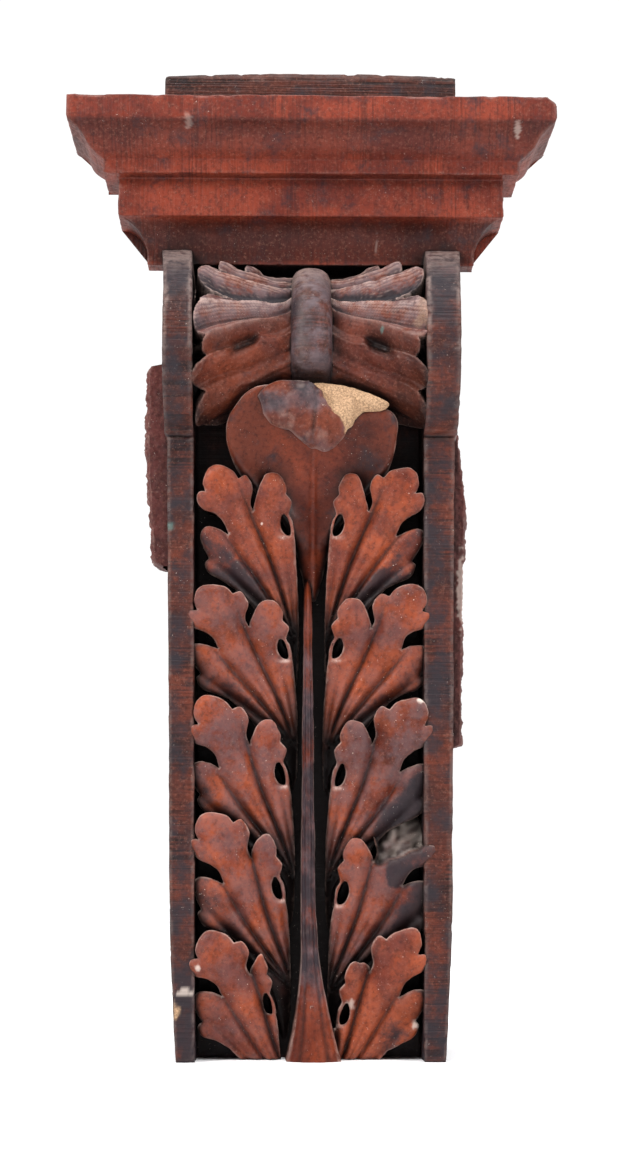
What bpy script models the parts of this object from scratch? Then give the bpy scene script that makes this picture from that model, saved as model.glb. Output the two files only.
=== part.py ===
"""Terracotta keystone: a moulded cap over a scroll console with acanthus leaves.

Metres, +Z up, front faces -Y. The sizes below are in millimetres. Depth is measured back from the plane of
the cap's foremost edge."""
import bmesh
import bpy
import math
from mathutils import Vector
from mathutils.geometry import delaunay_2d_cdt

MM = 0.001
DEPTH = 215.0            # front of the cap to the flat back
HEIGHT = 868.0           # flat bottom to the crown of the bed block
BELOW = 4.0              # everything runs on this far and is then cut off flat

# cap: level heights of the moulding and how far each level stands out from the back of the moulding
CAP_TOP = 812.0
CAP_HALF = 210.5         # half width of the top fillet
CAP_BACK = 84.0          # depth at which the side returns are cut off
TOP_FILLET_LOW = 792.5
CYMA_LOW = 765.0
CYMA_RUN = 29.5          # how far the cyma steps in
FILLET_B_LOW = 753.0
SOFFIT_RUN = 12.5
FASCIA_LOW = 719.5
CAVETTO_RUN = 24.5
CAVETTO_LOW = 688.5
FILLET_C_LOW = 682.5
CYMA_WAVE = 0.09         # how much the cyma swells either side of a straight slope
CYMA_STEPS = 8
CAVETTO_LIP = 1.0
CAVETTO_STEPS = 6
CHIP = 9.0               # width lost from the right hand corner of the top fillet
CHIP_FACING = (0.62, -0.42, 0.66)

# bed block
BLOCK_HALF = 131.5
BLOCK_FRONT = 80.0
BLOCK_CROWN = 3.0
BLOCK_STEPS = 8
OVERLAP = 4.0            # how far one form runs into the next before they are joined

# console body
FLOOR = 100.0            # depth of the ground behind the leaves
SHAFT_FRONT = 49.0       # depth of the flange faces
SHAFT_FOOT = 52.0
STEP_Z = 524.5           # where the scroll meets the shaft
SCROLL_HALF = 126.0
SHAFT_HALF_TOP = 124.0
SHAFT_HALF_LOW = 117.5
FOOT_HALF = 110.5
FOOT_CURVE_Z = 150.0     # below this the sides draw in
FOOT_CURVE = 1.6
SHAFT_LEVELS = (25.0, 60.0, 100.0, FOOT_CURVE_Z, 300.0)
FLANGE_IN_TOP_L = 101.0
FLANGE_IN_TOP_R = 97.0
FLANGE_IN_FOOT_L = 95.0
FLANGE_IN_FOOT_R = 92.5

# scroll
SCROLL_Z = 599.0
SCROLL_DEPTH = 84.0
SCROLL_R = 84.0
SCROLL_RISE = 98.5       # the upper half of the scroll is taller than it is deep
SCROLL_STEPS = 14
STEP_IN = 5.0            # the scroll's front overhangs the shaft front by this much at the step

SCROLL_SPLAY = 0.08      # how much wider the scroll gets as its front falls back
SPLAY_MOST = 5.0
SPLAY_INSIDE = 0.8       # share of that splay which the inner edge of a flange follows

# bolster between the flanges
WAIST_R = 57.0
BOLSTER_FLARE = 23.0
BOLSTER_FLARE_CURVE = 1.8
WAIST_SINK = 4.0         # the ground between the lobes lies this far under the waist
WAIST_SWELL = 9.5        # the waist is this much fuller on top
SWELL_TURN = (25.0, 75.0)    # degrees up from level between which it fills out
ROLL_CLEAR = 1.0         # the lobes stay at least this far inside the scroll's round
BOLSTER_END = 108.0      # the roll runs into the flanges this far out
BOLSTER_LEVELS = (BOLSTER_END, 103.0, 99.5, 96.0, 91.0, 85.0, 76.0, 64.0, 50.0, 36.0, 24.0)
BOLSTER_SPOKES = 34
BOLSTER_FROM = -100.0    # degrees round the roll, level ahead is 0
BOLSTER_TO = 82.0
ROLL_RISE = 1.09         # above level the roll is this much taller than it is deep
# leaf lobes on the roll: angle up from level, half width in degrees, and how far out the tip reaches
LOBES = (
    (88, 14, 60), (70, 10, 84), (49, 14, 97), (15, 17, 102), (-11, 13, 93), (-34, 14, 102), (-62, 19, 100),
)
LOBE_FOCUS = -4.0        # the lobes fan out from here
LOBE_CROWD = 0.62        # how closely they crowd at the ring
LOBE_RELIEF = (4.0, 9.0)     # at the ring and near the flanges
LOBE_RELIEF_RUN = 0.7    # share of the way to the flange in which the relief grows
LOBE_CREST = 0.3         # the crest lies this far above the middle of a lobe
LOBE_ROUND = 15.0        # how far the end of a lobe draws back at its sides
LOBE_BLUNT = 2.5         # how blunt that end is
LOBE_DROP = 30.0         # fall beyond the end of a lobe
LOBE_EDGE = (-1.0, 2.0)  # the fall begins and ends this far beyond it
RING_HALF = 17.5
RING_R = 76.0
RING_SINK = 6.0          # edge of the ring under the waist
RING_DRAW = (15.0, 8.0)  # how far the ring's crown and edge draw in below, behind the top leaf
RING_DRAW_FROM = -8.0
RING_DRAW_TO = -34.0
RING_TURN = 30           # degrees between the lines along the ring's half round

# stem
STEM_FRONT = 54.0
STEM_FALL = 22.0         # how far its top falls back into the big leaf
STEM_LEVELS = (25.0, 55.0, 80.0, 105.0, 220.0, 330.0, 392.0)
STEM_TOP = 446.0
STEM_HALF_TOP = 2.8
STEM_HALF_LOW = 8.6
STEM_FLARE = 15.0
STEM_FLARE_Z = 105.0
STEM_FLARE_CURVE = 2.0
STEM_X = -2.5
STEM_FOOT_SHIFT = 4.5
STEM_FOOT_Z = 150.0
STEM_SECTION = ((-1.25, FLOOR + 2), (-1.0, 5.0), (0.0, 0.0), (1.0, 5.0), (1.25, FLOOR + 2))

# big top leaf: each row starts a stretch of its outline with x, z, bulge and steps
BLADE_EDGE = (
    (-4, 386, 0.0, 1), (-12, 426, 0.0, 1), (-24, 452, 0.0, 1), (-42, 472, 0.06, 2), (-60, 490, 0.37, 5),
    (-64, 547, 0.2, 3), (-38, 561, 0.0, 1), (10, 552, 0.0, 1), (66, 543, 0.42, 3), (74, 526, 0.12, 2),
    (65, 492, 0.06, 2), (46, 472, 0.0, 1), (26, 450, 0.0, 1), (15, 426, 0.0, 1), (5, 386, 0.0, 1),
)
BLADE_TOP = 562.0
BLADE_LOW = 430.0        # the bowl ends here in a narrow tail
BLADE_WIDE_Z = 525.0
BLADE_HALF = 74.0
BLADE_TAIL_HALF = 14.0
BLADE_FRONT = 12.0       # depth of the lip
BLADE_ROOT = 78.0        # depth where it springs from the stem
BLADE_LEAN = 0.85
BLADE_BOWL = 14.0
BLADE_BOWL_OPEN = (0.05, 0.5)    # share of the way down in which the bowl deepens
BLADE_BOWL_SHUT = (1.0, 0.6)     # and in which it runs out again
BLADE_RIB = 2.2
BLADE_THICK = 13.0       # thickness of the lip
BLADE_KEEL = 75.0        # thickness gained towards the middle, where the leaf joins the ground
BLADE_KEEL_RISE = 30.0   # distance below the lip in which that thickness grows
BLADE_X = 2.0
BLADE_ROWS = 11          # rows of points that carry the bowl
BLADE_ROWS_FROM = 406.0
BLADE_ROWS_TO = 554.0
BLADE_COLUMNS = (0.75, 0.45, 0.2)        # their places as shares of the half width
BLADE_RIB_HALF = 3.0

# rolled tip of the big leaf with the break on its right
TIP_EDGE = (
    (-46, 551, 0.15, 2), (-30, 563.5, 0.0, 1), (8, 565, 0.08, 2), (54, 554, 0.1, 1), (66, 547, 0.0, 1),
    (60, 541, 0.0, 1), (44, 539.5, -0.2, 2), (34.5, 526.5, 0.1, 2), (22, 510, 0.3, 3), (-2, 506, 0.0, 1),
    (-19, 520, 0.0, 1), (-34, 526, 0.2, 2), (-43, 545, 0.0, 1),
)
# line on which the roll ends and the break begins
TIP_SPLIT = ((-2, 566), (12, 552), (15, 541), (26, 528), (31, 521))
TIP_MIDDLE = (-8.0, 536.0)
TIP_HALF = (46.0, 40.0)
TIP_SIDE = 22.0          # depth of the roll at its rim and how far it stands out in the middle
TIP_BULGE = 17.0
TIP_BACK = 42.0
TORN_LOW = (9.0, 522.0)  # depth and height of the lower end of the break
TORN_SLOPE = 0.33
TORN_STEP = 2.0          # the break lies at least this far under the roll
TIP_GRID = 9.0           # distance between the points that carry the roll
TIP_COLUMNS = 5          # and how many of them lie on either side of its middle
TIP_ROWS = 3

# side leaves from the top pair down, left and right: height of the drilled eye, vertical stretch, reach,
# how much higher the lobe by the eye sits, and how far the stem pushes that lobe out
EYES = {-1: (441.0, 343.0, 241.0, 147.0, 53.0), 1: (441.0, 341.0, 240.0, 143.0, 54.0)}
STRETCH = {-1: (0.96, 0.90, 1.0, 0.98, 0.90), 1: (0.96, 0.92, 1.02, 1.0, 0.94)}
REACH = {-1: (0.94, 1.05, 1.02, 0.98, 0.98), 1: (0.95, 1.02, 1.01, 1.03, 0.94)}
LIFT = {-1: (14.0, 5.0, 2.0, 1.0, 0.0), 1: (14.0, 8.0, 2.0, 1.0, -9.0)}
SQUEEZE = {-1: (-3.0, -1.0, 1.0, 4.0, 12.0), 1: (-1.0, -2.0, 0.0, 2.0, 4.0)}
LIFT_X = (52.0, 40.0)    # the lift grows between these distances from the stem
LIFT_Z = (-30.0, -20.0)  # and between these heights about the eye
SQUEEZE_X = (48.0, 24.0)
LEAF_TIPS = (41.0, 45.0, 45.0, 45.0, 45.0)       # depth of the leaf tips, from the top pair down
LEAF_FALL = 33.0         # how much deeper the root of a leaf lies
LEAF_FALL_CURVE = 1.1
LEAF_LENGTH = 165.0
OUTER_FALL = 6.0         # the lower lobes lie this much deeper
OUTER_TURN = (33.0, 46.0)    # degrees out from upright between which they fall back
LEAF_ROOT = (12.0, -95.0)
LEAF_AXIS = 20.0         # a leaf stretches sideways from this distance off the middle
TAIL_FALL = 0.4          # slope of the tail that slips behind the next leaf
TAIL_FROM = -80.0
# outline about the eye, x out from the stem; each row starts a stretch with x, z, bulge and steps
LEAF_EDGE = (
    (17, -18, 0.0, 1), (19, -4, 0.0, 1), (22, 2, 0.45, 2), (25, 19, 1.2, 5), (51, 19, 0.5, 3),
    (65, 48, 1.1, 6), (94, 34, 0.75, 3), (96, 18, -0.25, 2), (75, -2, 0.0, 1), (95, 3, 0.55, 3),
    (98, -14, 0.0, 1), (92, -24, 0.5, 2), (90, -38, 0.0, 1), (67, -49, -0.13, 3), (35, -98, 0.0, 1),
    (19, -146, 0.0, 1), (13, -105, 0.0, 1), (13, -60, 0.0, 1), (15, -30, 0.0, 1),
)
EYE_MIDDLE = (25.0, -7.7)
EYE_LONG = (2.1, 9.2)    # half of the drilled eye's long axis
EYE_WIDE = (3.9, -0.9)   # half of its short axis
EYE_STEPS = 8
# valleys: angle out from upright about the root, width, depth, and how far from the root they begin to fade
VALLEYS = ((19.5, 3.2, 8.0, 128.0), (35.0, 3.4, 7.5, 105.0), (47.5, 2.6, 3.5, 95.0))
VALLEY_FADE = (38.0, -20.0)
RIDGES = (8.0, 13.5, 19.5, 26.5, 35.0, 41.5, 47.5)       # angles of the lines of points that carry the relief
RIDGE_REACH = (38.0, 62.0, 84.0, 104.0, 122.0, 138.0)
EDGE_CLEAR = 3.0         # those points keep this far from the outline
SHORTEST = 0.6           # shortest side of an outline
BROKEN_PAIR = 3
LOBE_BREAK = (80.0, 66.0, 24.0)          # x, depth and height above the eye
LOBE_BREAK_FACING = (-0.12, -0.86, 0.5)
CUTTER = 60.0            # half size of the block that makes a break

# remains of broken lugs on the two sides
LUG_FRONT = 80.0
LUG_BACK = 112.0
LUG_ROOT = 6.0           # how far the remains run into the body
LUG_ROUND = (2.0, 9.0)   # how the front edge of the torn face is broken off
LUG_BACK_EDGE = (3.0, 4.0)
LUG_SWELLS = ((2.2, 5.1), (1.3, 2.3))    # height and pace of the waves that make the torn edge ragged
LUG_END = 6.0
LUG_LEAN = 1.0           # the lug's front falls back this much towards its edge
# height from, height to, half width, steps and taper at the foot
LUGS = {-1: (417.0, 595.0, 142.0, 14, 10.0), 1: (262.0, 552.0, 134.0, 20, 0.0)}

CLAY_COLOUR = (0.30, 0.095, 0.055, 1.0)
CLAY_ROUGHNESS = 0.75
UNDERGROUND = 40.0       # thickness of the block that cuts the bottom flat


def material(name, colour, rough):
    m = bpy.data.materials.new(name)
    m.use_nodes = True
    b = m.node_tree.nodes["Principled BSDF"]
    b.inputs["Base Color"].default_value = colour
    b.inputs["Roughness"].default_value = rough
    return m


def point(x, d, z):
    return (x * MM, (d - DEPTH / 2) * MM, z * MM)


def solid(name, verts, faces):
    me = bpy.data.meshes.new(name)
    me.from_pydata(verts, [], faces)
    bm = bmesh.new()
    bm.from_mesh(me)
    bmesh.ops.triangulate(bm, faces=[f for f in bm.faces if len(f.verts) > 3])
    bmesh.ops.recalc_face_normals(bm, faces=bm.faces)
    bm.to_mesh(me)
    bm.free()
    ob = bpy.data.objects.new(name, me)
    bpy.context.scene.collection.objects.link(ob)
    return ob


def combine(target, tool, operation):
    """Apply one exact Boolean of tool on target and remove the tool."""
    m = target.modifiers.new("op", "BOOLEAN")
    m.operation = operation
    m.solver = "EXACT"
    m.object = tool
    bpy.context.view_layer.update()
    deps = bpy.context.evaluated_depsgraph_get()
    me = bpy.data.meshes.new_from_object(target.evaluated_get(deps))
    target.modifiers.clear()
    target.data = me
    bpy.data.objects.remove(tool)


def stack(name, levels):
    """Loft of rectangles: each level is (z, x0, x1, depth0, depth1)."""
    verts = []
    for z, x0, x1, d0, d1 in levels:
        verts += [point(x0, d0, z), point(x1, d0, z), point(x1, d1, z), point(x0, d1, z)]
    return solid(name, verts, sheet(4, len(levels)))


def relief(name, outline, inner, depth, back, hole=()):
    """Solid between a modelled front and a back surface, cut to an outline; hole goes through it."""
    pts = [Vector(p) for p in outline + list(hole) + inner]
    n, h = len(outline), len(hole)
    loop = [(i, (i + 1) % n) for i in range(n)] + [(n + i, n + (i + 1) % h) for i in range(h)]
    vs, _, tris, _, _, _ = delaunay_2d_cdt(pts, loop, [], 1, 1e-6)
    if hole:
        tris = [t for t in tris if not inside(sum((vs[i] for i in t), Vector((0, 0))) / 3, hole, 0.0)]
    m = len(vs)
    verts = [point(v.x, depth(v.x, v.y), v.y) for v in vs] + [point(v.x, back(v.x, v.y), v.y) for v in vs]
    faces, rim = [], {}
    for t in tris:
        a, b, c = (vs[i] for i in t)
        t = tuple(t) if (b - a).cross(c - a) > 0 else tuple(reversed(t))
        faces += [t, tuple(m + i for i in reversed(t))]
        for i in range(3):
            e = (t[i], t[(i + 1) % 3])
            rim[e] = rim.get((e[1], e[0]), 0) + 1
            if (e[1], e[0]) in rim:
                del rim[e]
                del rim[(e[1], e[0])]
    faces += [(b, a, m + a, m + b) for a, b in rim]
    return solid(name, verts, faces)


def arc(a, b, bulge, steps):
    """Points from a to b, b left out, on an arc whose height is bulge times half the chord."""
    ax, az = a
    bx, bz = b
    cx, cz = bx - ax, bz - az
    half = math.hypot(cx, cz) / 2
    turn = 4 * math.atan(bulge)
    radius = half / math.sin(turn / 2)
    out = []
    for k in range(steps):
        t = turn * (k / steps - 0.5)
        along = radius * math.sin(t) + half
        up = radius * (math.cos(t) - math.cos(turn / 2))
        out.append((ax + (cx * along - cz * up) / (2 * half), az + (cz * along + cx * up) / (2 * half)))
    return out


def outline_of(rows):
    """Closed outline from rows that each start a stretch: x, z, bulge and steps."""
    out = []
    for k, (x, z, bulge, steps) in enumerate(rows):
        following = rows[(k + 1) % len(rows)][:2]
        out += arc((x, z), following, bulge, steps) if bulge else [(x, z)]
    return out


def ramp(x, a, b):
    """0 below a, 1 above b, smooth between; a may be above b."""
    t = min(1.0, max(0.0, (x - a) / (b - a)))
    return t * t * (3 - 2 * t)


def sheet(n, rows):
    """Faces that join rows of n points, each row closed on itself, with both ends filled."""
    faces = []
    for k in range(rows - 1):
        for i in range(n):
            j = (i + 1) % n
            faces.append((n * k + i, n * k + j, n * k + n + j, n * k + n + i))
    last = n * (rows - 1)
    return faces + [tuple(range(n - 1, -1, -1)), tuple(range(last, last + n))]


def half_width(z):
    """Half width of the shaft: a straight taper whose lowest part draws in on a curve."""
    up = max(0.0, z - FOOT_CURVE_Z) / (STEP_Z - FOOT_CURVE_Z)
    w = SHAFT_HALF_LOW + (SHAFT_HALF_TOP - SHAFT_HALF_LOW) * up
    if z < FOOT_CURVE_Z:
        w -= (SHAFT_HALF_LOW - FOOT_HALF) * (1 - z / FOOT_CURVE_Z) ** FOOT_CURVE
    return w


def body():
    """Block with two plain side bands standing forward: shaft fronts below, the scroll's round above."""
    levels = []
    for z in (-BELOW,) + SHAFT_LEVELS + (STEP_Z - SHORTEST,):
        t = z / STEP_Z
        levels.append((z, half_width(z), t, SHAFT_FOOT + (SHAFT_FRONT - SHAFT_FOOT) * t, 0.0))
    low = -math.acos((SCROLL_DEPTH - SHAFT_FRONT + STEP_IN) / SCROLL_R)
    for k in range(SCROLL_STEPS + 1):
        a = low + (math.pi / 2 - low) * k / SCROLL_STEPS
        rise = SCROLL_RISE if a > 0 else SCROLL_R
        front = SCROLL_DEPTH - SCROLL_R * math.cos(a)
        splay = min(SPLAY_MOST, SCROLL_SPLAY * front) if a > 0 else 0.0
        levels.append((SCROLL_Z + rise * math.sin(a), SCROLL_HALF + splay, 1.0, front, splay))
    verts = []
    for z, out, t, front, splay in levels:
        left = -(FLANGE_IN_FOOT_L + (FLANGE_IN_TOP_L - FLANGE_IN_FOOT_L) * t) - SPLAY_INSIDE * splay
        right = FLANGE_IN_FOOT_R + (FLANGE_IN_TOP_R - FLANGE_IN_FOOT_R) * t + SPLAY_INSIDE * splay
        for x, d in ((-out, DEPTH), (-out, front), (left, front), (left, FLOOR),
                     (right, FLOOR), (right, front), (out, front), (out, DEPTH)):
            verts.append(point(x, d, z))
    return solid("keystone", verts, sheet(8, len(levels)))


def cap():
    """Mitred moulding: each level steps in by the same amount on the front and on both returns."""
    rows = [(CAP_TOP, 0.0), (TOP_FILLET_LOW, 0.0)]
    tall = TOP_FILLET_LOW - CYMA_LOW
    for k in range(1, CYMA_STEPS + 1):
        t = k / CYMA_STEPS
        run = CYMA_RUN * (t + CYMA_WAVE * math.sin(2 * math.pi * t))
        rows.append((TOP_FILLET_LOW - tall * t, run))
    rows.append((FILLET_B_LOW, CYMA_RUN))
    step = CYMA_RUN + SOFFIT_RUN
    rows += [(FILLET_B_LOW - SHORTEST, step), (FASCIA_LOW, step)]
    top = FASCIA_LOW - CAVETTO_LIP
    for k in range(1, CAVETTO_STEPS + 1):
        a = math.pi / 2 * k / CAVETTO_STEPS
        z = top - (top - CAVETTO_LOW) * (1 - math.cos(a))
        rows.append((z, step + CAVETTO_LIP + (CAVETTO_RUN - CAVETTO_LIP) * math.sin(a)))
    rows.append((FILLET_C_LOW, step + CAVETTO_RUN))
    levels = [(z, -(CAP_HALF - r), CAP_HALF - r, r, CAP_BACK) for z, r in reversed(rows)]
    whole = stack("cap", levels)
    combine(whole, wedge("chip", CAP_HALF - CHIP, 0, CAP_TOP, CHIP_FACING), "DIFFERENCE")
    return whole


def bed_block():
    """Low block on top, a little crowned along its length; it carries the body up behind the cap."""
    side = HEIGHT - BLOCK_CROWN
    low = FILLET_C_LOW + OVERLAP
    line = arc((-BLOCK_HALF, side), (BLOCK_HALF, side), BLOCK_CROWN / BLOCK_HALF, BLOCK_STEPS)
    line += [(BLOCK_HALF, side), (BLOCK_HALF, low), (-BLOCK_HALF, low)]
    return relief("block", line, [], lambda x, z: BLOCK_FRONT, lambda x, z: DEPTH)


def roll_radius(out, deg):
    """Waisted roll wrapped in leaf lobes that fan out from the ring, swell and end short of the flanges."""
    s = max(0.0, out - RING_HALF) / (FLANGE_IN_TOP_L - RING_HALF)
    fan = LOBE_FOCUS + (deg - LOBE_FOCUS) / (LOBE_CROWD + (1 - LOBE_CROWD) * min(1.0, s))
    swell = end = 0.0
    for middle, half, tip in LOBES:
        off = (fan - middle) / half
        swell = max(swell, 1 - abs(off - LOBE_CREST))
        end = max(end, tip - LOBE_ROUND * abs(off) ** LOBE_BLUNT)
    low = WAIST_R - WAIST_SINK
    waist = low + WAIST_SWELL * ramp(deg, *SWELL_TURN)
    r = waist + (low + BOLSTER_FLARE - waist) * s ** BOLSTER_FLARE_CURVE
    r += (LOBE_RELIEF[0] + (LOBE_RELIEF[1] - LOBE_RELIEF[0]) * ramp(s, 0.0, LOBE_RELIEF_RUN)) * swell
    return min(r, SCROLL_R - ROLL_CLEAR) - LOBE_DROP * ramp(out - end, *LOBE_EDGE)


def ring_radius(u, deg):
    """Half round ring, u from -1 to 1 across it, drawn in below behind the top leaf."""
    draw = ramp(deg, RING_DRAW_FROM, RING_DRAW_TO)
    peak = RING_R - RING_DRAW[0] * draw
    base = WAIST_R - RING_SINK - RING_DRAW[1] * draw
    return base + (peak - base) * math.sqrt(max(0.0, 1 - u * u))


def bolster():
    """Roll and ring as one loft along x; its section is an open round closed inside the body."""
    turns = [math.radians(t) for t in range(-90, 91, RING_TURN)]
    columns = [(-x, None) for x in BOLSTER_LEVELS] + [(RING_HALF * math.sin(t), math.sin(t)) for t in turns]
    columns += [(x, None) for x in reversed(BOLSTER_LEVELS)]
    verts = []
    for x, u in columns:
        for k in range(BOLSTER_SPOKES + 1):
            deg = BOLSTER_FROM + (BOLSTER_TO - BOLSTER_FROM) * k / BOLSTER_SPOKES
            r = roll_radius(abs(x), deg) if u is None else ring_radius(u, deg)
            a = math.radians(deg)
            rise = ROLL_RISE if a > 0 else 1.0
            verts.append(point(x, SCROLL_DEPTH - r * math.cos(a), SCROLL_Z + rise * r * math.sin(a)))
        verts.append(point(x, FLOOR + 2 * OVERLAP, FILLET_C_LOW + OVERLAP))
        verts.append(point(x, FLOOR + 2 * OVERLAP, SCROLL_Z - SCROLL_R - OVERLAP))
    return solid("bolster", verts, sheet(BOLSTER_SPOKES + 3, len(columns)))


def on_leaf(points, side, k):
    """Points given about a leaf's eye, moved to where they lie on one of the ten leaves."""
    stretch, out = STRETCH[side][k], []
    for x, z in points:
        z += LIFT[side][k] / stretch * ramp(x, *LIFT_X) * ramp(z, *LIFT_Z)
        x += SQUEEZE[side][k] * ramp(x, *SQUEEZE_X)
        p = (side * (LEAF_AXIS + (x - LEAF_AXIS) * REACH[side][k]), max(EYES[side][k] + z * stretch, -BELOW))
        if not out or math.dist(p, out[-1]) > SHORTEST:
            out.append(p)
    return out[:-1] if math.dist(out[0], out[-1]) <= SHORTEST else out


def leaf_depth(x, z, tip):
    """Depth of the leaf face at a point about the eye: deep at the root, with valleys between the lobes."""
    dx, dz = x - LEAF_ROOT[0], z - LEAF_ROOT[1]
    r = math.hypot(dx, dz)
    a = math.degrees(math.atan2(dx, dz))
    d = tip + LEAF_FALL * max(0.0, 1 - r / LEAF_LENGTH) ** LEAF_FALL_CURVE
    d += OUTER_FALL * ramp(a, *OUTER_TURN) + TAIL_FALL * max(0.0, TAIL_FROM - z)
    for middle, wide, deep, fade in VALLEYS:
        reach = ramp(r, fade + VALLEY_FADE[0], fade + VALLEY_FADE[1])
        d += deep * math.exp(-((a - middle) / wide) ** 2) * reach
    return d


def eye_point(t):
    """Point on the rim of the drilled eye."""
    return tuple(EYE_MIDDLE[i] + EYE_LONG[i] * math.cos(t) + EYE_WIDE[i] * math.sin(t) for i in (0, 1))


def leaf(side, k):
    """One side leaf: a scalloped plate carved in valleys, with a drilled eye by the stem."""
    outline = on_leaf(outline_of(LEAF_EDGE), side, k)
    eye = on_leaf([eye_point(2 * math.pi * n / EYE_STEPS) for n in range(EYE_STEPS)], side, k)
    lines = [(LEAF_ROOT[0] + r * math.sin(math.radians(a)), LEAF_ROOT[1] + r * math.cos(math.radians(a)))
             for a in RIDGES for r in RIDGE_REACH]
    inner = [p for p in on_leaf(lines, side, k) if inside(p, outline) and clear_of(p, eye)]

    def depth(x, z):
        away = LEAF_AXIS + (abs(x) - LEAF_AXIS) / REACH[side][k]
        return leaf_depth(away, (z - EYES[side][k]) / STRETCH[side][k], LEAF_TIPS[k])

    return relief("leaf", outline, inner, depth, lambda x, z: FLOOR + OVERLAP, eye)


def clear_of(p, outline):
    """True where p lies outside an outline and not close to its edge."""
    return not inside(p, outline, 0.0) and edge_distance(p, outline) > EDGE_CLEAR


def edge_distance(p, outline):
    best = math.inf
    for k in range(len(outline)):
        a, b = Vector(outline[k - 1]), Vector(outline[k])
        along = b - a
        t = min(1.0, max(0.0, (Vector(p) - a).dot(along) / along.length_squared))
        best = min(best, (Vector(p) - a - along * t).length)
    return best


def inside(p, outline, clear=EDGE_CLEAR):
    """True where p lies in the outline and not closer than clear to its edge."""
    x, z = p
    hit = False
    for k in range(len(outline)):
        (ax, az), (bx, bz) = outline[k - 1], outline[k]
        if (az > z) != (bz > z) and x < ax + (z - az) * (bx - ax) / (bz - az):
            hit = not hit
    return hit and (not clear or edge_distance(p, outline) > clear)


def stem():
    """Slim rib up the middle that flares at the foot and falls back into the big leaf at its top."""
    levels = (-BELOW,) + STEM_LEVELS + (STEM_TOP,)
    verts = []
    for z in levels:
        w = STEM_HALF_LOW + (STEM_HALF_TOP - STEM_HALF_LOW) * z / STEM_TOP
        w += STEM_FLARE * max(0.0, 1 - z / STEM_FLARE_Z) ** STEM_FLARE_CURVE
        middle = STEM_X + STEM_FOOT_SHIFT * ramp(z, STEM_FOOT_Z, 0)
        front = STEM_FRONT + STEM_FALL * ramp(z, STEM_LEVELS[-1], STEM_TOP)
        for u, d in STEM_SECTION:
            verts.append(point(middle + u * w, d if d > FLOOR else front + d, z))
    return solid("stem", verts, sheet(len(STEM_SECTION), len(levels)))


def blade_depth(x, z):
    """A bowl that leans out: deep at the stem, its rim forward, with a raised rib up the middle."""
    t = min(1.0, max(0.0, (BLADE_TOP - z) / (BLADE_TOP - BLADE_LOW)))
    u = blade_side(x, z)
    d = BLADE_FRONT + (BLADE_ROOT - BLADE_FRONT) * t ** BLADE_LEAN
    d += BLADE_BOWL * (1 - u * u) * ramp(t, *BLADE_BOWL_OPEN) * ramp(t, *BLADE_BOWL_SHUT)
    return d - (BLADE_RIB if abs(x - BLADE_X) < 1 else 0.0)


def blade_half(z):
    """Half width of the big leaf's bowl at a height."""
    return BLADE_TAIL_HALF + (BLADE_HALF - BLADE_TAIL_HALF) * ramp(z, BLADE_LOW, BLADE_WIDE_Z)


def blade_side(x, z):
    """0 on the middle line of the big leaf, 1 at its sides."""
    return min(1.0, abs(x - BLADE_X) / blade_half(z))


def blade():
    """The big leaf that rises from the stem and leans out under the scroll."""
    outline = outline_of(BLADE_EDGE)
    inner = []
    for n in range(BLADE_ROWS):
        z = BLADE_ROWS_FROM + n * (BLADE_ROWS_TO - BLADE_ROWS_FROM) / BLADE_ROWS
        away = [u * blade_half(z) for u in BLADE_COLUMNS if u * blade_half(z) > 2 * BLADE_RIB_HALF]
        for x in [-a for a in away] + [-BLADE_RIB_HALF, 0.0, BLADE_RIB_HALF] + away:
            if inside((BLADE_X + x, z), outline):
                inner.append((BLADE_X + x, z))

    def back(x, z):
        keel = BLADE_KEEL * (1 - blade_side(x, z)) ** 2 * ramp(z, BLADE_TOP, BLADE_TOP - BLADE_KEEL_RISE)
        return min(blade_depth(x, z) + BLADE_THICK + keel, FLOOR + OVERLAP)

    return relief("blade", outline, inner, blade_depth, back)


def tip_depth(x, z):
    """The roll bulges forward; the break slopes back and up from its right edge."""
    u, v = (x - TIP_MIDDLE[0]) / TIP_HALF[0], (z - TIP_MIDDLE[1]) / TIP_HALF[1]
    roll = TIP_SIDE - TIP_BULGE * math.sqrt(max(0.0, 1 - u * u - v * v))
    border = TIP_SPLIT[0][0]
    for (x0, z0), (x1, z1) in zip(TIP_SPLIT, TIP_SPLIT[1:]):
        if z <= z0:
            border = x0 + (x1 - x0) * min(1.0, (z0 - z) / (z0 - z1))
    if x <= border:
        return roll
    return max(TORN_LOW[0] + TORN_SLOPE * (z - TORN_LOW[1]), roll + TORN_STEP)


def rolled_tip():
    """Rolled end of the big leaf, its right part broken away on a slant."""
    outline = outline_of(TIP_EDGE)
    inner = [(x + side, z) for x, z in TIP_SPLIT[1:-1] for side in (-1, 1)]
    for i in range(-TIP_COLUMNS, TIP_COLUMNS + 1):
        for j in range(-TIP_ROWS, TIP_ROWS + 1):
            p = (TIP_MIDDLE[0] + i * TIP_GRID, TIP_MIDDLE[1] + (j + 0.5 * (i % 2)) * TIP_GRID)
            if inside(p, outline) and all(math.dist(p, q) > TIP_GRID / 2 for q in inner):
                inner.append(p)
    return relief("tip", outline, inner, tip_depth, lambda x, z: TIP_BACK)


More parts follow.
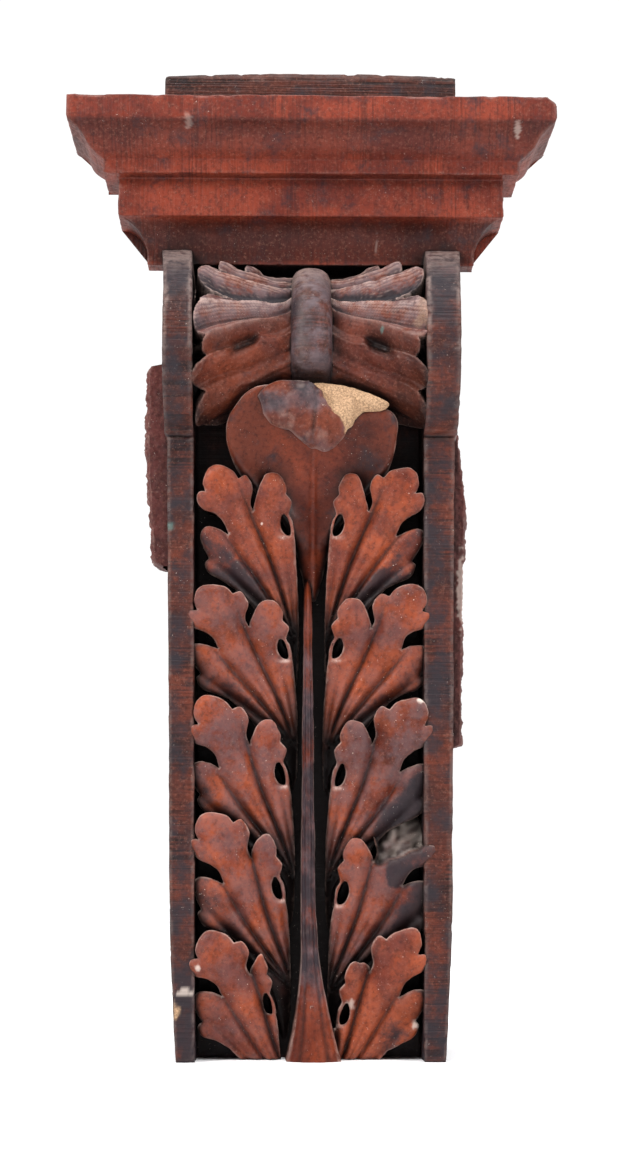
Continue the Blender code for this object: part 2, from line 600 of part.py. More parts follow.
def lug(side):
    """Ragged remains of a broken lug on the side of the body."""
    low, top, out, steps, taper = LUGS[side]
    verts = []
    for k in range(steps + 1):
        t = k / steps
        z = low + (top - low) * t
        edge = out - taper * (1 - t) ** 2 + sum(high * math.sin(pace * k + side) for high, pace in LUG_SWELLS)
        if k in (0, steps):
            edge -= LUG_END
        root = half_width(min(z, STEP_Z)) - LUG_ROOT
        section = [(root, LUG_FRONT), (edge - LUG_ROUND[0], LUG_FRONT + LUG_LEAN)]
        section += [(edge, LUG_FRONT + LUG_ROUND[1])]
        section += [(edge - LUG_BACK_EDGE[0], LUG_BACK - LUG_BACK_EDGE[1]), (root, LUG_BACK)]
        for x, d in section:
            verts.append(point(side * x, d, z))
    return solid("lug", verts, sheet(5, steps + 1))


def wedge(name, x, d, z, facing):
    """Cutting block whose one face passes through a point and looks back along a direction."""
    n = Vector(facing).normalized()
    side = n.cross(Vector((0, 0, 1))).normalized()
    up = side.cross(n)
    c = Vector((x, d - DEPTH / 2, z))
    verts = []
    for far in (0, 1):
        for u, v in ((-1, -1), (1, -1), (1, 1), (-1, 1)):
            verts.append(tuple((c + (side * u + up * v + n * far) * CUTTER) * MM))
    return solid(name, verts, sheet(4, 2))


def broken_leaf():
    """The right leaf of the fourth pair, its upper lobe snapped off down to a rough stub."""
    whole = leaf(1, BROKEN_PAIR)
    x, d, rise = LOBE_BREAK
    combine(whole, wedge("snap", x, d, EYES[1][BROKEN_PAIR] + rise, LOBE_BREAK_FACING), "DIFFERENCE")
    return whole


def build():
    for ob in list(bpy.data.objects):
        bpy.data.objects.remove(ob)
    clay = material("terracotta", CLAY_COLOUR, CLAY_ROUGHNESS)
    whole = body()
    joins = [cap(), bed_block(), bolster(), stem(), blade(), rolled_tip(), lug(-1), lug(1)]
    for k in range(len(LEAF_TIPS)):
        joins.append(leaf(-1, k))
        joins.append(broken_leaf() if k == BROKEN_PAIR else leaf(1, k))
    for tool in joins:
        combine(whole, tool, "UNION")
    wide = 2 * CAP_HALF
    combine(whole, stack("ground", [(z, -wide, wide, -wide, wide) for z in (-UNDERGROUND, 0)]), "DIFFERENCE")
    whole.data.materials.clear()
    whole.data.materials.append(clay)
    whole.name = "keystone"


build()
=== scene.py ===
"""Looks of the terracotta keystone: fine carving, weathered clay, floor, light and camera.

Lengths are in millimetres: x to the right, depth back from the foremost edge of the cap, z up."""

import math

import bmesh
import bpy
import numpy as np
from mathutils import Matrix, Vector
from mathutils.bvhtree import BVHTree
from mathutils.geometry import delaunay_2d_cdt


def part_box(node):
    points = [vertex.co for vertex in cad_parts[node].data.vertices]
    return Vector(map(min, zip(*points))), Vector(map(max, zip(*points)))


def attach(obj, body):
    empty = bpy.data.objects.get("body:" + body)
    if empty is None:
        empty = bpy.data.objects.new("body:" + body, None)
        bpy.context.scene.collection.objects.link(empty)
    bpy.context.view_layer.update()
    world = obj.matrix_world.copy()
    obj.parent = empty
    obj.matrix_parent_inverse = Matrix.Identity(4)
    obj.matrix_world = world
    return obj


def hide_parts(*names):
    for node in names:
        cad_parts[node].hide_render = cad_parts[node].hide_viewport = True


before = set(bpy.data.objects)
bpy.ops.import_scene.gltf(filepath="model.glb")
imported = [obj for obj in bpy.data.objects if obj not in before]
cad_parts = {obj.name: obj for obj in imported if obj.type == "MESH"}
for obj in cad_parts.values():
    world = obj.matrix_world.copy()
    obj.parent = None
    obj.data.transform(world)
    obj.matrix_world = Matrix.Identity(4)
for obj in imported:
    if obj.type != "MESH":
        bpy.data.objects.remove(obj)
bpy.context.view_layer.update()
LOW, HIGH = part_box("keystone")
MM = 0.001
HEIGHT = HIGH.z / MM
DEPTH = (HIGH.y - LOW.y) / MM
CAP_HALF = (HIGH.x - LOW.x) / 2 / MM

# cap mouldings
CAP_TOP = 812.0
CAP_BACK = 84.0
TOP_FILLET_LOW = 792.5
CYMA_LOW = 765.0
CYMA_RUN = 29.5
CYMA_WAVE = 0.09
CYMA_LIP = 1.5
FILLET_B_LOW = 753.0
SOFFIT_RUN = 12.5
FASCIA_LOW = 719.5
CAVETTO_RUN = 24.5
CAVETTO_LIP = 1.0
CAVETTO_LOW = 688.5
FILLET_C_LOW = 682.5
ARRIS = 1.3  # how far the cap's corners are rounded
CHIP = 9.0  # width lost from the right hand corner of the top fillet
CHIP_FACING = (0.62, -0.42, 0.66)
CHIP_ROUGH = 0.8

# bed block
BLOCK_HALF = 131.5
BLOCK_FRONT = 80.0
BLOCK_CROWN = 3.0
BLOCK_ARRIS = 1.2
BLOCK_SINK = 0.4  # its mesh starts this far below the top of the scroll

# console body
FLOOR_DEPTH = 99.0
SHAFT_FRONT = 49.0
SHAFT_FOOT = 52.0
STEP_Z = 524.5
SCROLL_HALF = 126.0
SHAFT_HALF_TOP = 124.0
SHAFT_HALF_LOW = 117.5
FOOT_HALF = 110.5
FOOT_CURVE_Z = 150.0
FOOT_CURVE = 1.6
BAND_IN_TOP = (-101.0, 97.0)
BAND_IN_FOOT = (-95.0, 92.5)
SCROLL_Z = 599.0
SCROLL_R = 84.0
SCROLL_RISE = 98.5
STEP_IN = 5.0
SCROLL_SPLAY = 0.08  # how much wider the scroll gets as its front falls back
SPLAY_MOST = 5.0
SPLAY_INSIDE = 0.8  # share of that splay which the inner edge of a band follows

# bolster and ring
WAIST_R = 57.0
FLARE = 23.0
ROLL_RISE = 1.09  # the upper half of the roll and ring stands this much taller than it is deep
WAIST_SINK = 4.0  # the ground between the lobes lies this far under the waist
WAIST_SWELL = 9.5  # the waist is this much fuller on top
ROLL_END = 105.0
ROLL_TURN = (-100, 98)  # angles from level between which the roll runs
RING_TURN = (-96, 94)
LOBE_RISE = (4, 5)  # how far a lobe stands up at the ring, and how much more by the band
LOBE_FALL = 30  # how far the roll drops beyond the tips of the lobes
ROLL_EYE = (-19, 58, 11)  # drilled eye: angle, place along the roll and depth
RING_HALF = 17.5
RING_R = 76.0
RING_SINK = 6.0  # edge of the ring under the waist
RING_DRAW = (15.0, 8.0)  # how far its crown and its edge draw in below, behind the top leaf

# side leaves from the top pair down, left and right: height of the drilled eye, vertical stretch, reach,
# how much higher the lobe by the eye sits, and how far the stem pushes that lobe out
EYES = {-1: (441.0, 343.0, 241.0, 147.0, 53.0), 1: (441.0, 341.0, 240.0, 143.0, 54.0)}
STRETCH = {-1: (0.96, 0.90, 1.0, 0.98, 0.90), 1: (0.96, 0.92, 1.02, 1.0, 0.94)}
REACH = {-1: (0.94, 1.05, 1.02, 0.98, 0.98), 1: (0.95, 1.02, 1.01, 1.03, 0.94)}
LIFT = {-1: (14.0, 5.0, 2.0, 1.0, 0.0), 1: (14.0, 8.0, 2.0, 1.0, -9.0)}
SQUEEZE = {-1: (-3.0, -1.0, 1.0, 4.0, 12.0), 1: (-1.0, -2.0, 0.0, 2.0, 4.0)}
LEAF_TIP = 45.0
LEAF_FALL = 33.0
LEAF_LENGTH = 165.0
LEAF_ROOT = (12.0, -95.0)
LEAF_STEP = 1.5
LEAF_AXIS = 20.0  # a leaf stretches sideways from this distance off the middle
BROKEN_PAIR = 3
STUB_DEPTH = 70.0
STUB_LINE = (60.0, 16.0, 0.42)  # the break starts above a line: x, height over the eye, slope

# stem
STEM_X = -2.5
STEM_FRONT = 54.0
STEM_TOP = 446.0
STEM_HALF_LOW = 8.6
STEM_HALF_TOP = 2.8
STEM_FLARE = 15.0
STEM_FLARE_Z = 105.0
STEM_FOOT_SHIFT = 4.5
STEM_FOOT_Z = 150.0
STEM_FALL = 28.0  # how far its top falls back into the big leaf

# big top leaf: depth of its lip and of its root on the stem
BLADE_FRONT = 12.0
BLADE_ROOT = 78.0
BLADE_TOP = 562.0
BLADE_LOW = 430.0
BLADE_WIDE_Z = 525.0
BLADE_HALF = 74.0
BLADE_TAIL_HALF = 14.0
BLADE_BOWL = 14.0
BLADE_RIB = 2.2
BLADE_X = 2.0

# rolled tip: its middle, half its size, depth of its rim and how far it stands out
TIP_MIDDLE = (-8.0, 536.0)
TIP_HALF = (46.0, 40.0)
TIP_SIDE = 22.0
TIP_BULGE = 17.0
TORN_LOW = (9.0, 522.0)  # depth and height of the lower end of the break
TORN_SLOPE = 0.33

# remains of the lugs
LUG_FRONT = 80.0
LUG_THICK = 31.0
LUG_ROOT = 3.0  # how far they run into the body

# painted shade and painted highlight: reach of the rays that find hollows, which are darkened as painted
# shade, and how pale an outer edge gets where a piece doesn't say, as dust and painted highlight
HOLLOW_REACH = 0.07
EDGE_WEAR_AND_HIGHLIGHT = 0.35

# lamps: name, place, size and power; then the camera
LAMPS = (
    ("key", (-1.9, -1.7, 1.9), 1.0, 66),
    ("fill", (2.0, -1.7, 1.5), 1.0, 44),
    ("top", (0.1, -1.1, 2.7), 1.0, 30),
)
LAMP_AIM = (0, 0, 0.45)
LENS = 57.81
CAMERA_AT = (-0.0266, -1.6075, 0.147)
CAMERA_TILT = 9.33
CAMERA_TURN = -0.947

# brightness of the world: along an axis, from one value to another, from dim to bright
GLOW = (("Y", -0.1, 0.6, 0.28, 1.05), ("Z", 0.35, 0.85, 0.0, 1.6))

# what the materials read at each vertex
LAYERS = ("hollow", "edge", "soot", "grey", "pale", "deep", "lime", "copper")
marks = {}


def mark(ob, **layers):
    """Keep a value for each vertex of a piece, later stored on the mesh for its material."""
    for name, values in layers.items():
        marks.setdefault(ob.name, {})[name] = np.asarray(values, float).ravel()


def place(p):
    """Millimetre points as x, depth, z, turned into the frame's metres."""
    out = np.array(p, float) * MM
    out[:, 1] += LOW.y
    return out


def lattice(p, size, seed):
    """Smooth noise from -1 to 1 with features of a size, the same each time for a seed."""
    table = np.random.default_rng(seed).uniform(-1, 1, (32, 32, 32))
    p = np.asarray(p, float)
    q = p.reshape(-1, 3) / size
    i = np.floor(q).astype(int)
    f = q - i
    f = f * f * (3 - 2 * f)
    total = np.zeros(len(q))
    for corner in range(8):
        o = np.array([corner >> k & 1 for k in range(3)])
        w = np.prod(np.where(o, f, 1 - f), axis=1)
        j = (i + o) % 32
        total += w * table[j[:, 0], j[:, 1], j[:, 2]]
    return total.reshape(p.shape[:-1])


def flat_lattice(p, size, seed, level=0.0):
    """Smooth noise over points in x and z; a level of its own gives a piece its own noise."""
    return lattice(np.column_stack([p, np.full(len(p), float(level))]), size, seed)


def ramp(x, a, b):
    """0 below a, 1 above b, smooth between; a may be above b."""
    t = np.clip((np.asarray(x, float) - a) / (b - a), 0, 1)
    return t * t * (3 - 2 * t)


def peak(x, middle, width):
    """1 at the middle, falling away softly on both sides."""
    return np.exp(-((x - middle) / width) ** 2)


def piece(name, verts, faces, turn=True):
    """A mesh of the part, in millimetre points, that rides on the body and stands for the solid.

    turn makes its faces look outwards."""
    me = bpy.data.meshes.new(name)
    me.from_pydata(place(verts).tolist(), [], [tuple(int(i) for i in f) for f in faces])
    if turn:
        bm = bmesh.new()
        bm.from_mesh(me)
        bmesh.ops.recalc_face_normals(bm, faces=bm.faces)
        bm.to_mesh(me)
        bm.free()
    me.polygons.foreach_set("use_smooth", np.ones(len(me.polygons), bool))
    me.update()
    ob = bpy.data.objects.new(name, me)
    bpy.context.scene.collection.objects.link(ob)
    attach(ob, "root")
    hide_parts("keystone")
    return ob


def face_out(ob, direction):
    """Turn an open sheet so that on the whole it faces along a direction."""
    _, no, _ = mesh_arrays(ob)
    if (no @ np.array(direction, float)).sum() < 0:
        ob.data.flip_normals()
        ob.data.update()


def weave(rows, cols, closed=False, start=0):
    """Quads of a grid of points, rows by cols; closed joins the last column to the first."""
    r, c = np.meshgrid(np.arange(rows - 1), np.arange(cols if closed else cols - 1), indexing="ij")
    a = (r * cols + c).ravel() + start
    b = (r * cols + (c + 1) % cols).ravel() + start
    return np.stack([a, b, b + cols, a + cols], 1)


def grid(name, points, closed=False, ends=False):
    """Piece from an array of rows by columns of points; ends fills the first and last row."""
    rows, cols = points.shape[:2]
    faces = [tuple(f) for f in weave(rows, cols, closed)]
    if ends:
        faces.append(tuple(range(cols - 1, -1, -1)))
        faces.append(tuple(range((rows - 1) * cols, rows * cols)))
    return piece(name, points.reshape(-1, 3), faces)


def smooth_line(points, step):
    """Curve through points, sampled about every step."""
    p = np.array(points, float)
    ext = np.vstack([2 * p[0] - p[1], p, 2 * p[-1] - p[-2]])
    out = []
    for k in range(1, len(ext) - 2):
        a, b, c, d = ext[k - 1:k + 3]
        n = max(1, int(round(np.linalg.norm(c - b) / step)))
        for t in np.arange(n) / n:
            out.append(0.5 * (2 * b + (c - a) * t + (2 * a - 5 * b + 4 * c - d) * t ** 2
                              + (3 * b - a - 3 * c + d) * t ** 3))
    return out


def rounded(corners, radius, step):
    """Open line through corners given as (x, y), each inner corner rounded, sampled about every step."""
    line = [np.array(corners[0], float)]
    for k in range(1, len(corners) - 1):
        p, q, r = (np.array(c, float) for c in corners[k - 1:k + 2])
        a, b = p - q, r - q
        cut = min(radius, 0.45 * np.linalg.norm(a), 0.45 * np.linalg.norm(b))
        p0, p1 = q + a / np.linalg.norm(a) * cut, q + b / np.linalg.norm(b) * cut
        for t in np.linspace(0, 1, 4):
            line.append((1 - t) ** 2 * p0 + 2 * t * (1 - t) * q + t * t * p1)
    line.append(np.array(corners[-1], float))
    out = [line[0]]
    for a, b in zip(line, line[1:]):
        n = max(1, int(np.linalg.norm(b - a) / step))
        out += [a + (b - a) * t / n for t in range(1, n + 1)]
    return np.array(out)


# Cap

def cap():
    """Moulding swept round the front and both returns, mitred at the corners."""
    step = CYMA_RUN + SOFFIT_RUN
    t = np.linspace(0, 1, 26)
    top = TOP_FILLET_LOW - CYMA_LIP
    cyma = np.stack([CYMA_RUN * (t + CYMA_WAVE * np.sin(2 * np.pi * t)), top - (top - CYMA_LOW) * t], 1)
    a = np.linspace(0, math.pi / 2, 22)
    top = FASCIA_LOW - CAVETTO_LIP
    hollow = np.stack([step + CAVETTO_LIP + (CAVETTO_RUN - CAVETTO_LIP) * np.sin(a),
                       top - (top - CAVETTO_LOW) * (1 - np.cos(a))], 1)
    corners = [(60, CAP_TOP + 1.5), (0, CAP_TOP), (0, TOP_FILLET_LOW)]
    corners += [tuple(c) for c in cyma[1:]]
    corners += [(CYMA_RUN, FILLET_B_LOW), (step, FILLET_B_LOW), (step, FASCIA_LOW)]
    corners += [tuple(c) for c in hollow]
    corners += [(step + CAVETTO_RUN, FILLET_C_LOW), (FLOOR_DEPTH + 6, FILLET_C_LOW)]
    profile = rounded(corners, ARRIS, 1.7)
    front = np.linspace(-1, 1, 190)
    back = np.linspace(1, 0, 30)[:-1]
    rows = []
    for run, z in profile:
        half = max(2.0, CAP_HALF - run)
        left = [(-half, run + (CAP_BACK - run) * b if run < CAP_BACK else run, z) for b in back]
        mid = [(half * u, run, z) for u in front]
        rows.append(left + mid + [(-x, d, zz) for x, d, zz in reversed(left)])
    rows = np.array(rows)
    facing = np.array(CHIP_FACING) / np.linalg.norm(CHIP_FACING)
    beyond = (rows - (CAP_HALF - CHIP, 0, CAP_TOP)) @ facing
    rough = CHIP_ROUGH * lattice(rows, 2.5, 61)
    rows = rows - np.clip(beyond + rough, 0, None)[..., None] * facing
    ob = grid("cap", rows)
    z = rows[..., 2].ravel()
    mark(ob, rim=0.35 * ramp(beyond, 0, 1))
    # painted shade: the upper cyma under the top fillet and the cavetto under the soffit are darkened in
    # colour through the deep mark
    cyma_part = ramp(z, TOP_FILLET_LOW, TOP_FILLET_LOW - 3) * ramp(z, CYMA_LOW - 1, CYMA_LOW + 4)
    cove_part = ramp(z, FASCIA_LOW, FASCIA_LOW - 4) * ramp(z, FILLET_C_LOW, FILLET_C_LOW + 5)
    shade = 0.42 * cyma_part * ramp(z, CYMA_LOW - 5, CYMA_LOW + 20)
    mark(ob, deep=shade + 0.62 * cove_part, soot=0.2 + 0 * z)
    return ob


def cap_back():
    """Plain back face of the cap beyond the body."""
    pts, faces = [], []
    for side in (-1, 1):
        step = CYMA_RUN + SOFFIT_RUN
        line = [(CAP_HALF, CAP_TOP), (CAP_HALF, TOP_FILLET_LOW), (CAP_HALF - CYMA_RUN, CYMA_LOW),
                (CAP_HALF - CYMA_RUN, FILLET_B_LOW), (CAP_HALF - step, FILLET_B_LOW),
                (CAP_HALF - step, FASCIA_LOW), (CAP_HALF - step - CAVETTO_RUN, CAVETTO_LOW),
                (CAP_HALF - step - CAVETTO_RUN, FILLET_C_LOW), (100, FILLET_C_LOW), (100, CAP_TOP)]
        start = len(pts)
        pts += [(side * x, CAP_BACK - 0.3, z) for x, z in line]
        faces.append(tuple(range(start, len(pts))))
    return piece("cap_back", pts, faces)


def block():
    """Low crowned block on top, and the body that carries it up behind the cap."""
    x = np.linspace(-BLOCK_HALF, BLOCK_HALF, 90)
    middle = (BLOCK_FRONT + DEPTH) / 2

    def crown(u):
        return HEIGHT - BLOCK_CROWN * (u / BLOCK_HALF) ** 2

    rows = []
    heights = np.linspace(CAP_TOP - 4, HEIGHT - BLOCK_CROWN - BLOCK_ARRIS, 24)
    for z in np.r_[SCROLL_Z + SCROLL_RISE - BLOCK_SINK, heights]:
        loop = [(u, BLOCK_FRONT, z) for u in x]
        loop += [(BLOCK_HALF, d, z) for d in np.linspace(BLOCK_FRONT + 2, DEPTH, 40)]
        loop += [(-q[0], DEPTH, z) for q in loop[1:90]]
        loop += [(-BLOCK_HALF, d, z) for d in np.linspace(DEPTH, BLOCK_FRONT + 2, 40)[1:]]
        rows.append(loop)
    top = []
    for q in rows[-1]:
        top.append((q[0] * 0.992, BLOCK_FRONT + 1 + (q[1] - BLOCK_FRONT) * 0.99, crown(q[0])))
    rows.append(top)
    for shrink in (0.8, 0.5, 0.2, 0.02):
        rows.append([(q[0] * shrink, middle + (q[1] - middle) * shrink, crown(q[0] * shrink)) for q in top])
    ob = grid("bed_block", np.array(rows), closed=True)
    z = np.array(rows)[..., 2].ravel()
    mark(ob, deep=0.28 + 0 * z, soot=0.25 + 0 * z, worn=0.12 + 0 * z)
    return ob


# Console body

def half_width(z):
    """Half width of the shaft: a straight taper whose lowest part draws in on a curve."""
    z = np.asarray(z, float)
    up = np.clip((z - FOOT_CURVE_Z) / (STEP_Z - FOOT_CURVE_Z), 0, 1)
    down = np.clip(1 - z / FOOT_CURVE_Z, 0, 1)
    straight = SHAFT_HALF_LOW + (SHAFT_HALF_TOP - SHAFT_HALF_LOW) * up
    return straight - (SHAFT_HALF_LOW - FOOT_HALF) * down ** FOOT_CURVE


def band_levels():
    """Heights up the side bands with the depth of the band front and the half width there."""
    rows = []
    for z in np.r_[0, 0.8, 2, np.arange(4, STEP_Z - 3, 3.2), STEP_Z - 2, STEP_Z - 1]:
        t = z / STEP_Z
        front = SHAFT_FOOT + (SHAFT_FRONT - SHAFT_FOOT) * t + (1.2 if z < 1 else 0)
        rows.append((z, front + (2.5 if z > STEP_Z - 1.5 else 0), float(half_width(z)), t))
    low = -math.acos((SCROLL_R - SHAFT_FRONT + STEP_IN) / SCROLL_R)
    for a in np.linspace(low, math.pi / 2 * 0.985, 76):
        rise = SCROLL_RISE if a > 0 else SCROLL_R
        front = SCROLL_R * (1 - math.cos(a))
        wide = SCROLL_SPLAY * front if a > 0 else 0.0
        rows.append((SCROLL_Z + rise * math.sin(a), front, SCROLL_HALF + min(wide, SPLAY_MOST), 1.0))
    return rows


def body():
    """Shaft, scroll sides, inner walls, the ground between the bands (dark from the painted occlusion shade),
    plain sides and back.
    """
    counts = (1, 34, 12, 18, 50, 18, 12, 34, 1)
    rows = []
    for z, front, half, t in band_levels():
        splay = max(0.0, half - SCROLL_HALF) * SPLAY_INSIDE
        left = BAND_IN_FOOT[0] + (BAND_IN_TOP[0] - BAND_IN_FOOT[0]) * t - splay
        right = BAND_IN_FOOT[1] + (BAND_IN_TOP[1] - BAND_IN_FOOT[1]) * t + splay
        gate = [(-half + 14, DEPTH), (-half, DEPTH), (-half, front), (left, front), (left, FLOOR_DEPTH),
                (right, FLOOR_DEPTH), (right, front), (half, front), (half, DEPTH), (half - 14, DEPTH)]
        section = []
        for k, n in enumerate(counts):
            p, q = np.array(gate[k], float), np.array(gate[k + 1], float)
            section += [p + (q - p) * s / n for s in range(n)]
        section.append(np.array(gate[-1], float))
        section = np.array(section)
        corner = np.cumsum((0,) + counts)
        for k in (2, 3, 6, 7):
            i = corner[k]
            section[i] = 0.5 * section[i] + 0.25 * (section[i - 1] + section[i + 1])
            section[i] = 0.6 * section[i] + 0.4 * np.array(gate[k])
        rows.append([(x, d, z) for x, d in section])
    ob = grid("console_body", np.array(rows), closed=True, ends=True)
    x, d, z = (np.array(rows)[..., k].ravel() for k in range(3))
    top = ramp(z, 615, 665) * (d < 90)
    foot = ramp(z, 110, 20)
    mark(ob, soot=0.48 + 0.3 * top + 0.25 * foot, grey=0.6 * top, worn=0.3 + 0.15 * ramp(z, 515, 560),
         dust=0.5 * ramp(z, 650, 690) * (d < 95))
    return ob


# Bolster

# lobes of the leaves that wrap the roll: angle up from level, half width, and how far out the tip reaches
LOBES = ((74, 9, 60), (62, 8, 80), (45, 12, 99), (10, 16, 102), (-10, 12, 92), (-28, 12, 102), (-54, 18, 101))
# where a line along the roll starts at the ring for the angle at which it ends by the band
FAN_END = (-110.0, -48.0, -22.0, -8.0, 18.0, 54.0, 86.0, 110.0)
FAN_START = (-80.0, -20.0, 10.0, 30.0, 43.0, 54.0, 78.0, 100.0)


def on_roll(x, r, a):
    """Points of a round about the scroll's axis, a little taller than deep above the axis."""
    z = SCROLL_Z + r * np.sin(a) * np.where(a > 0, ROLL_RISE, 1.0)
    return np.stack([x + 0 * r, SCROLL_R - r * np.cos(a), np.minimum(z, FILLET_C_LOW + 6)], -1)


def bolster_side(side):
    """Half of the leaf-wrapped roll, from the ring out to the band, as a relief on a waisted round."""
    out = np.linspace(RING_HALF - 4, ROLL_END, 110)[:, None]
    deg = np.linspace(*ROLL_TURN, 300)[None, :]
    s = np.clip((out - RING_HALF) / (ROLL_END - RING_HALF), 0, 1)
    flat = np.stack(np.broadcast_arrays(out, deg, 40.0 * side), -1)
    wave = 3.0 * lattice(flat, 26, 41)
    turn = s ** 0.75
    fan = np.array([np.interp(deg[0], np.array(FAN_START) * (1 - t) + np.array(FAN_END) * t, FAN_END)
                    for t in turn[:, 0]]) + wave
    relief = np.zeros(wave.shape)
    step = np.zeros(wave.shape)
    crest = np.zeros(wave.shape)
    end = np.full(wave.shape, 30.0)
    for n, (mid, wide, tip) in enumerate(LOBES):
        off = (fan - mid) / wide
        relief = np.maximum(relief, 1 - np.abs(off - 0.3) ** 1.3)
        crest = np.maximum(crest, peak(off, 0.55, 0.12))
        end = np.maximum(end, tip - 15 * np.abs(off) ** 2.6 + 1.5 * np.sin(n * 2.1 + side))
        step = np.maximum(step, ramp(off, 1.05, 0.85) * ramp(off, -0.2, 0.9))
    low = WAIST_R - WAIST_SINK
    waist = low + WAIST_SWELL * ramp(deg, 25, 75)
    r = waist + (low + FLARE - waist) * s ** 1.8
    r = r + (LOBE_RISE[0] + LOBE_RISE[1] * ramp(s, 0.0, 0.7)) * relief
    r = r + 1.5 * crest * ramp(s, 1.0, 0.5) + 2.5 * step * ramp(s, 0.1, 0.4)
    r = r + 3.0 * ramp(out - end, -16, -4) - LOBE_FALL * ramp(out - end, -1.0, 1.6)
    angle, place_out, deepest = ROLL_EYE
    eye = np.exp(-((fan - angle) / 5) ** 2 - ((out - place_out) / 11) ** 4)
    r = r - deepest * eye + 0.35 * np.cos(2.6 * fan + 0.5 * wave) * ramp(s, 0.05, 0.3) * ramp(fan, -20, 0)
    r = r + 0.9 * lattice(flat, 8, 42)
    r = np.minimum(r, SCROLL_R - 1)
    ob = grid("bolster_left" if side < 0 else "bolster_right", on_roll(side * out, r, np.radians(deg)))
    face_out(ob, (0, -1, 0))
    # painted shade: the deep mark darkens the underside of the roll, the valleys between lobes, the drilled
    # eye, the grooves between the lines and the ends by the bands, broken by noise; the pale mark on the lobe
    # crests is dust and a painted highlight
    top = ramp(fan, -14, 14)
    low = 0.1 + ramp(deg, -18, -50) * (0.5 + 0.35 * ramp(s, 0.5, 0.1))
    valley = peak(relief, 0, 0.14) * ramp(s, 0.02, 0.2)
    lines = top * ramp(np.cos(2.6 * fan + 0.5 * wave), 0.2, -0.9)
    dark = ramp(lattice(flat, 19, 43), -0.2, 0.9) * ramp(fan, 0, -14)
    dark = dark + ramp(s, 0.80, 0.97) * (1 - top)
    mark(ob, soot=0.9 * top * (1 - relief), grey=0.85 * top, worn=0.3 + 0.5 * top,
         deep=np.clip(low * (1 - top) + 0.95 * valley + 0.8 * eye + 0.5 * dark + 0.35 * lines, 0, 0.95),
         dust=0.42 * top * ramp(relief, 0.6, 1.0) * (1 - lines) + 0.6 * crest * top)
    if side > 0:
        spot = np.hypot((out - 95) / 9, (deg - 16) / 15)
        spot = spot + 0.4 * lattice(flat, 5, 44)
        mark(ob, pale=0.26 * ramp(spot, 1.0, 0.5))
    return ob


def ring():
    """Half-round ring that clasps the roll in the middle, drawn in below where the top leaf hides it."""
    u = np.linspace(-1, 1, 44)[:, None]
    deg = np.linspace(*RING_TURN, 170)[None, :]
    draw = ramp(deg, -8, -34)
    crown = RING_R - RING_DRAW[0] * draw
    base = WAIST_R - RING_SINK - RING_DRAW[1] * draw
    r = base + (crown - base) * np.sqrt(np.clip(1 - u ** 2, 0, 1))
    r = r + 0.3 * np.sin(deg * 1.9) * np.sin(deg * 0.31)
    ob = grid("bolster_ring", on_roll(RING_HALF * np.sin(u * math.pi / 2), r, np.radians(deg)))
    face_out(ob, (0, -1, 0))
    # painted shade on the underside and the flanks of the ring through the deep mark, and a painted highlight
    # stripe left of its middle in the pale mark; the pale top is dust
    high = ramp(deg, -45, 0)
    mark(ob, soot=0.45 * high + 0 * r, grey=high * (1 - 0.4 * u ** 2), worn=0.25 * high * u ** 2,
         deep=0.2 + 0.5 * ramp(deg, 0, -25) + 0.45 * np.abs(u) ** 3 + 0 * r,
         dust=0.6 * ramp(deg, 30, 75) + 0.1 * high * peak(u, -0.3, 0.25) + 0 * r)
    return ob


# Side leaves

# edge of a leaf about its eye, x out from the stem: one smooth line for each scallop, notch to notch
LEAF_EDGE = (
    ((17, -18), (17.3, -12), (19, -4), (22, 2), (20.5, 8), (20, 13), (25, 19)),
    ((25, 19), (25, 27), (32, 37), (43, 35), (50, 24), (51, 19)),
    ((51, 19), (54, 27), (52, 40), (58, 50), (65, 48)),
    ((65, 48), (72, 55), (86, 58), (94, 53), (97, 42), (94, 34)),
    ((94, 34), (100, 33), (101, 26), (96, 18), (86, 14), (79, 8), (75, -2)),
    ((75, -2), (84, 2), (95, 3), (101, -4), (98, -14), (92, -24)),
    ((92, -24), (95, -29), (90, -38), (78, -43), (67, -49)),
    ((67, -49), (50, -68), (35, -98), (25, -124), (19, -146)),
)
# its edge along the stem, back up to the start
STEM_EDGE = ((19, -146), (14, -130), (12.5, -105), (13, -60), (15, -30), (17, -18))
# edge of the drilled eye between the lobe by the stem and the long strip below it
EYE_EDGE = ((28, 1), (29.5, -5), (28.5, -11), (25, -16), (20.5, -16.5), (20.5, -10), (22.5, -3), (25.5, 1.5))
# valleys about the root: angle out from upright, width, depth, how far from the root they begin to fade
VALLEYS = (
    (19.5, 3.0, 10.0, 128), (35.0, 3.2, 9.0, 105), (47.5, 2.6, 4.5, 95),
    (27.0, 2.2, 3.2, 80), (8.0, 2.2, 3.2, 66),
)
# x and height about the eye of the ledge that is painted pale, as dust and as a painted highlight
LEDGE = (22.0, -18.5)
# grey film on each leaf, how much darker its tips are, the leaves with most soot, and the steps of the walls
LEAF_GREY = {-1: (0.15, 0.40, 0.50, 0.45, 0.30), 1: (0.1, 0.3, 0.5, 0.45, 0.1)}
LEAF_TONE = {-1: (0.0, 0.16, 0.08, 0.0, 0.0), 1: (0.0, 0.10, 0.40, 0.12, 0.0)}
SOOTY_LEAVES = ((1, 0), (1, 2), (-1, 0), (1, 3))
LEAF_DROPS = ((0.0, 0.0), (2.5, 0.2), (6.0, 1.0), (11.0, 2.4), (20.0, 4.0), (60.0, 6.0))


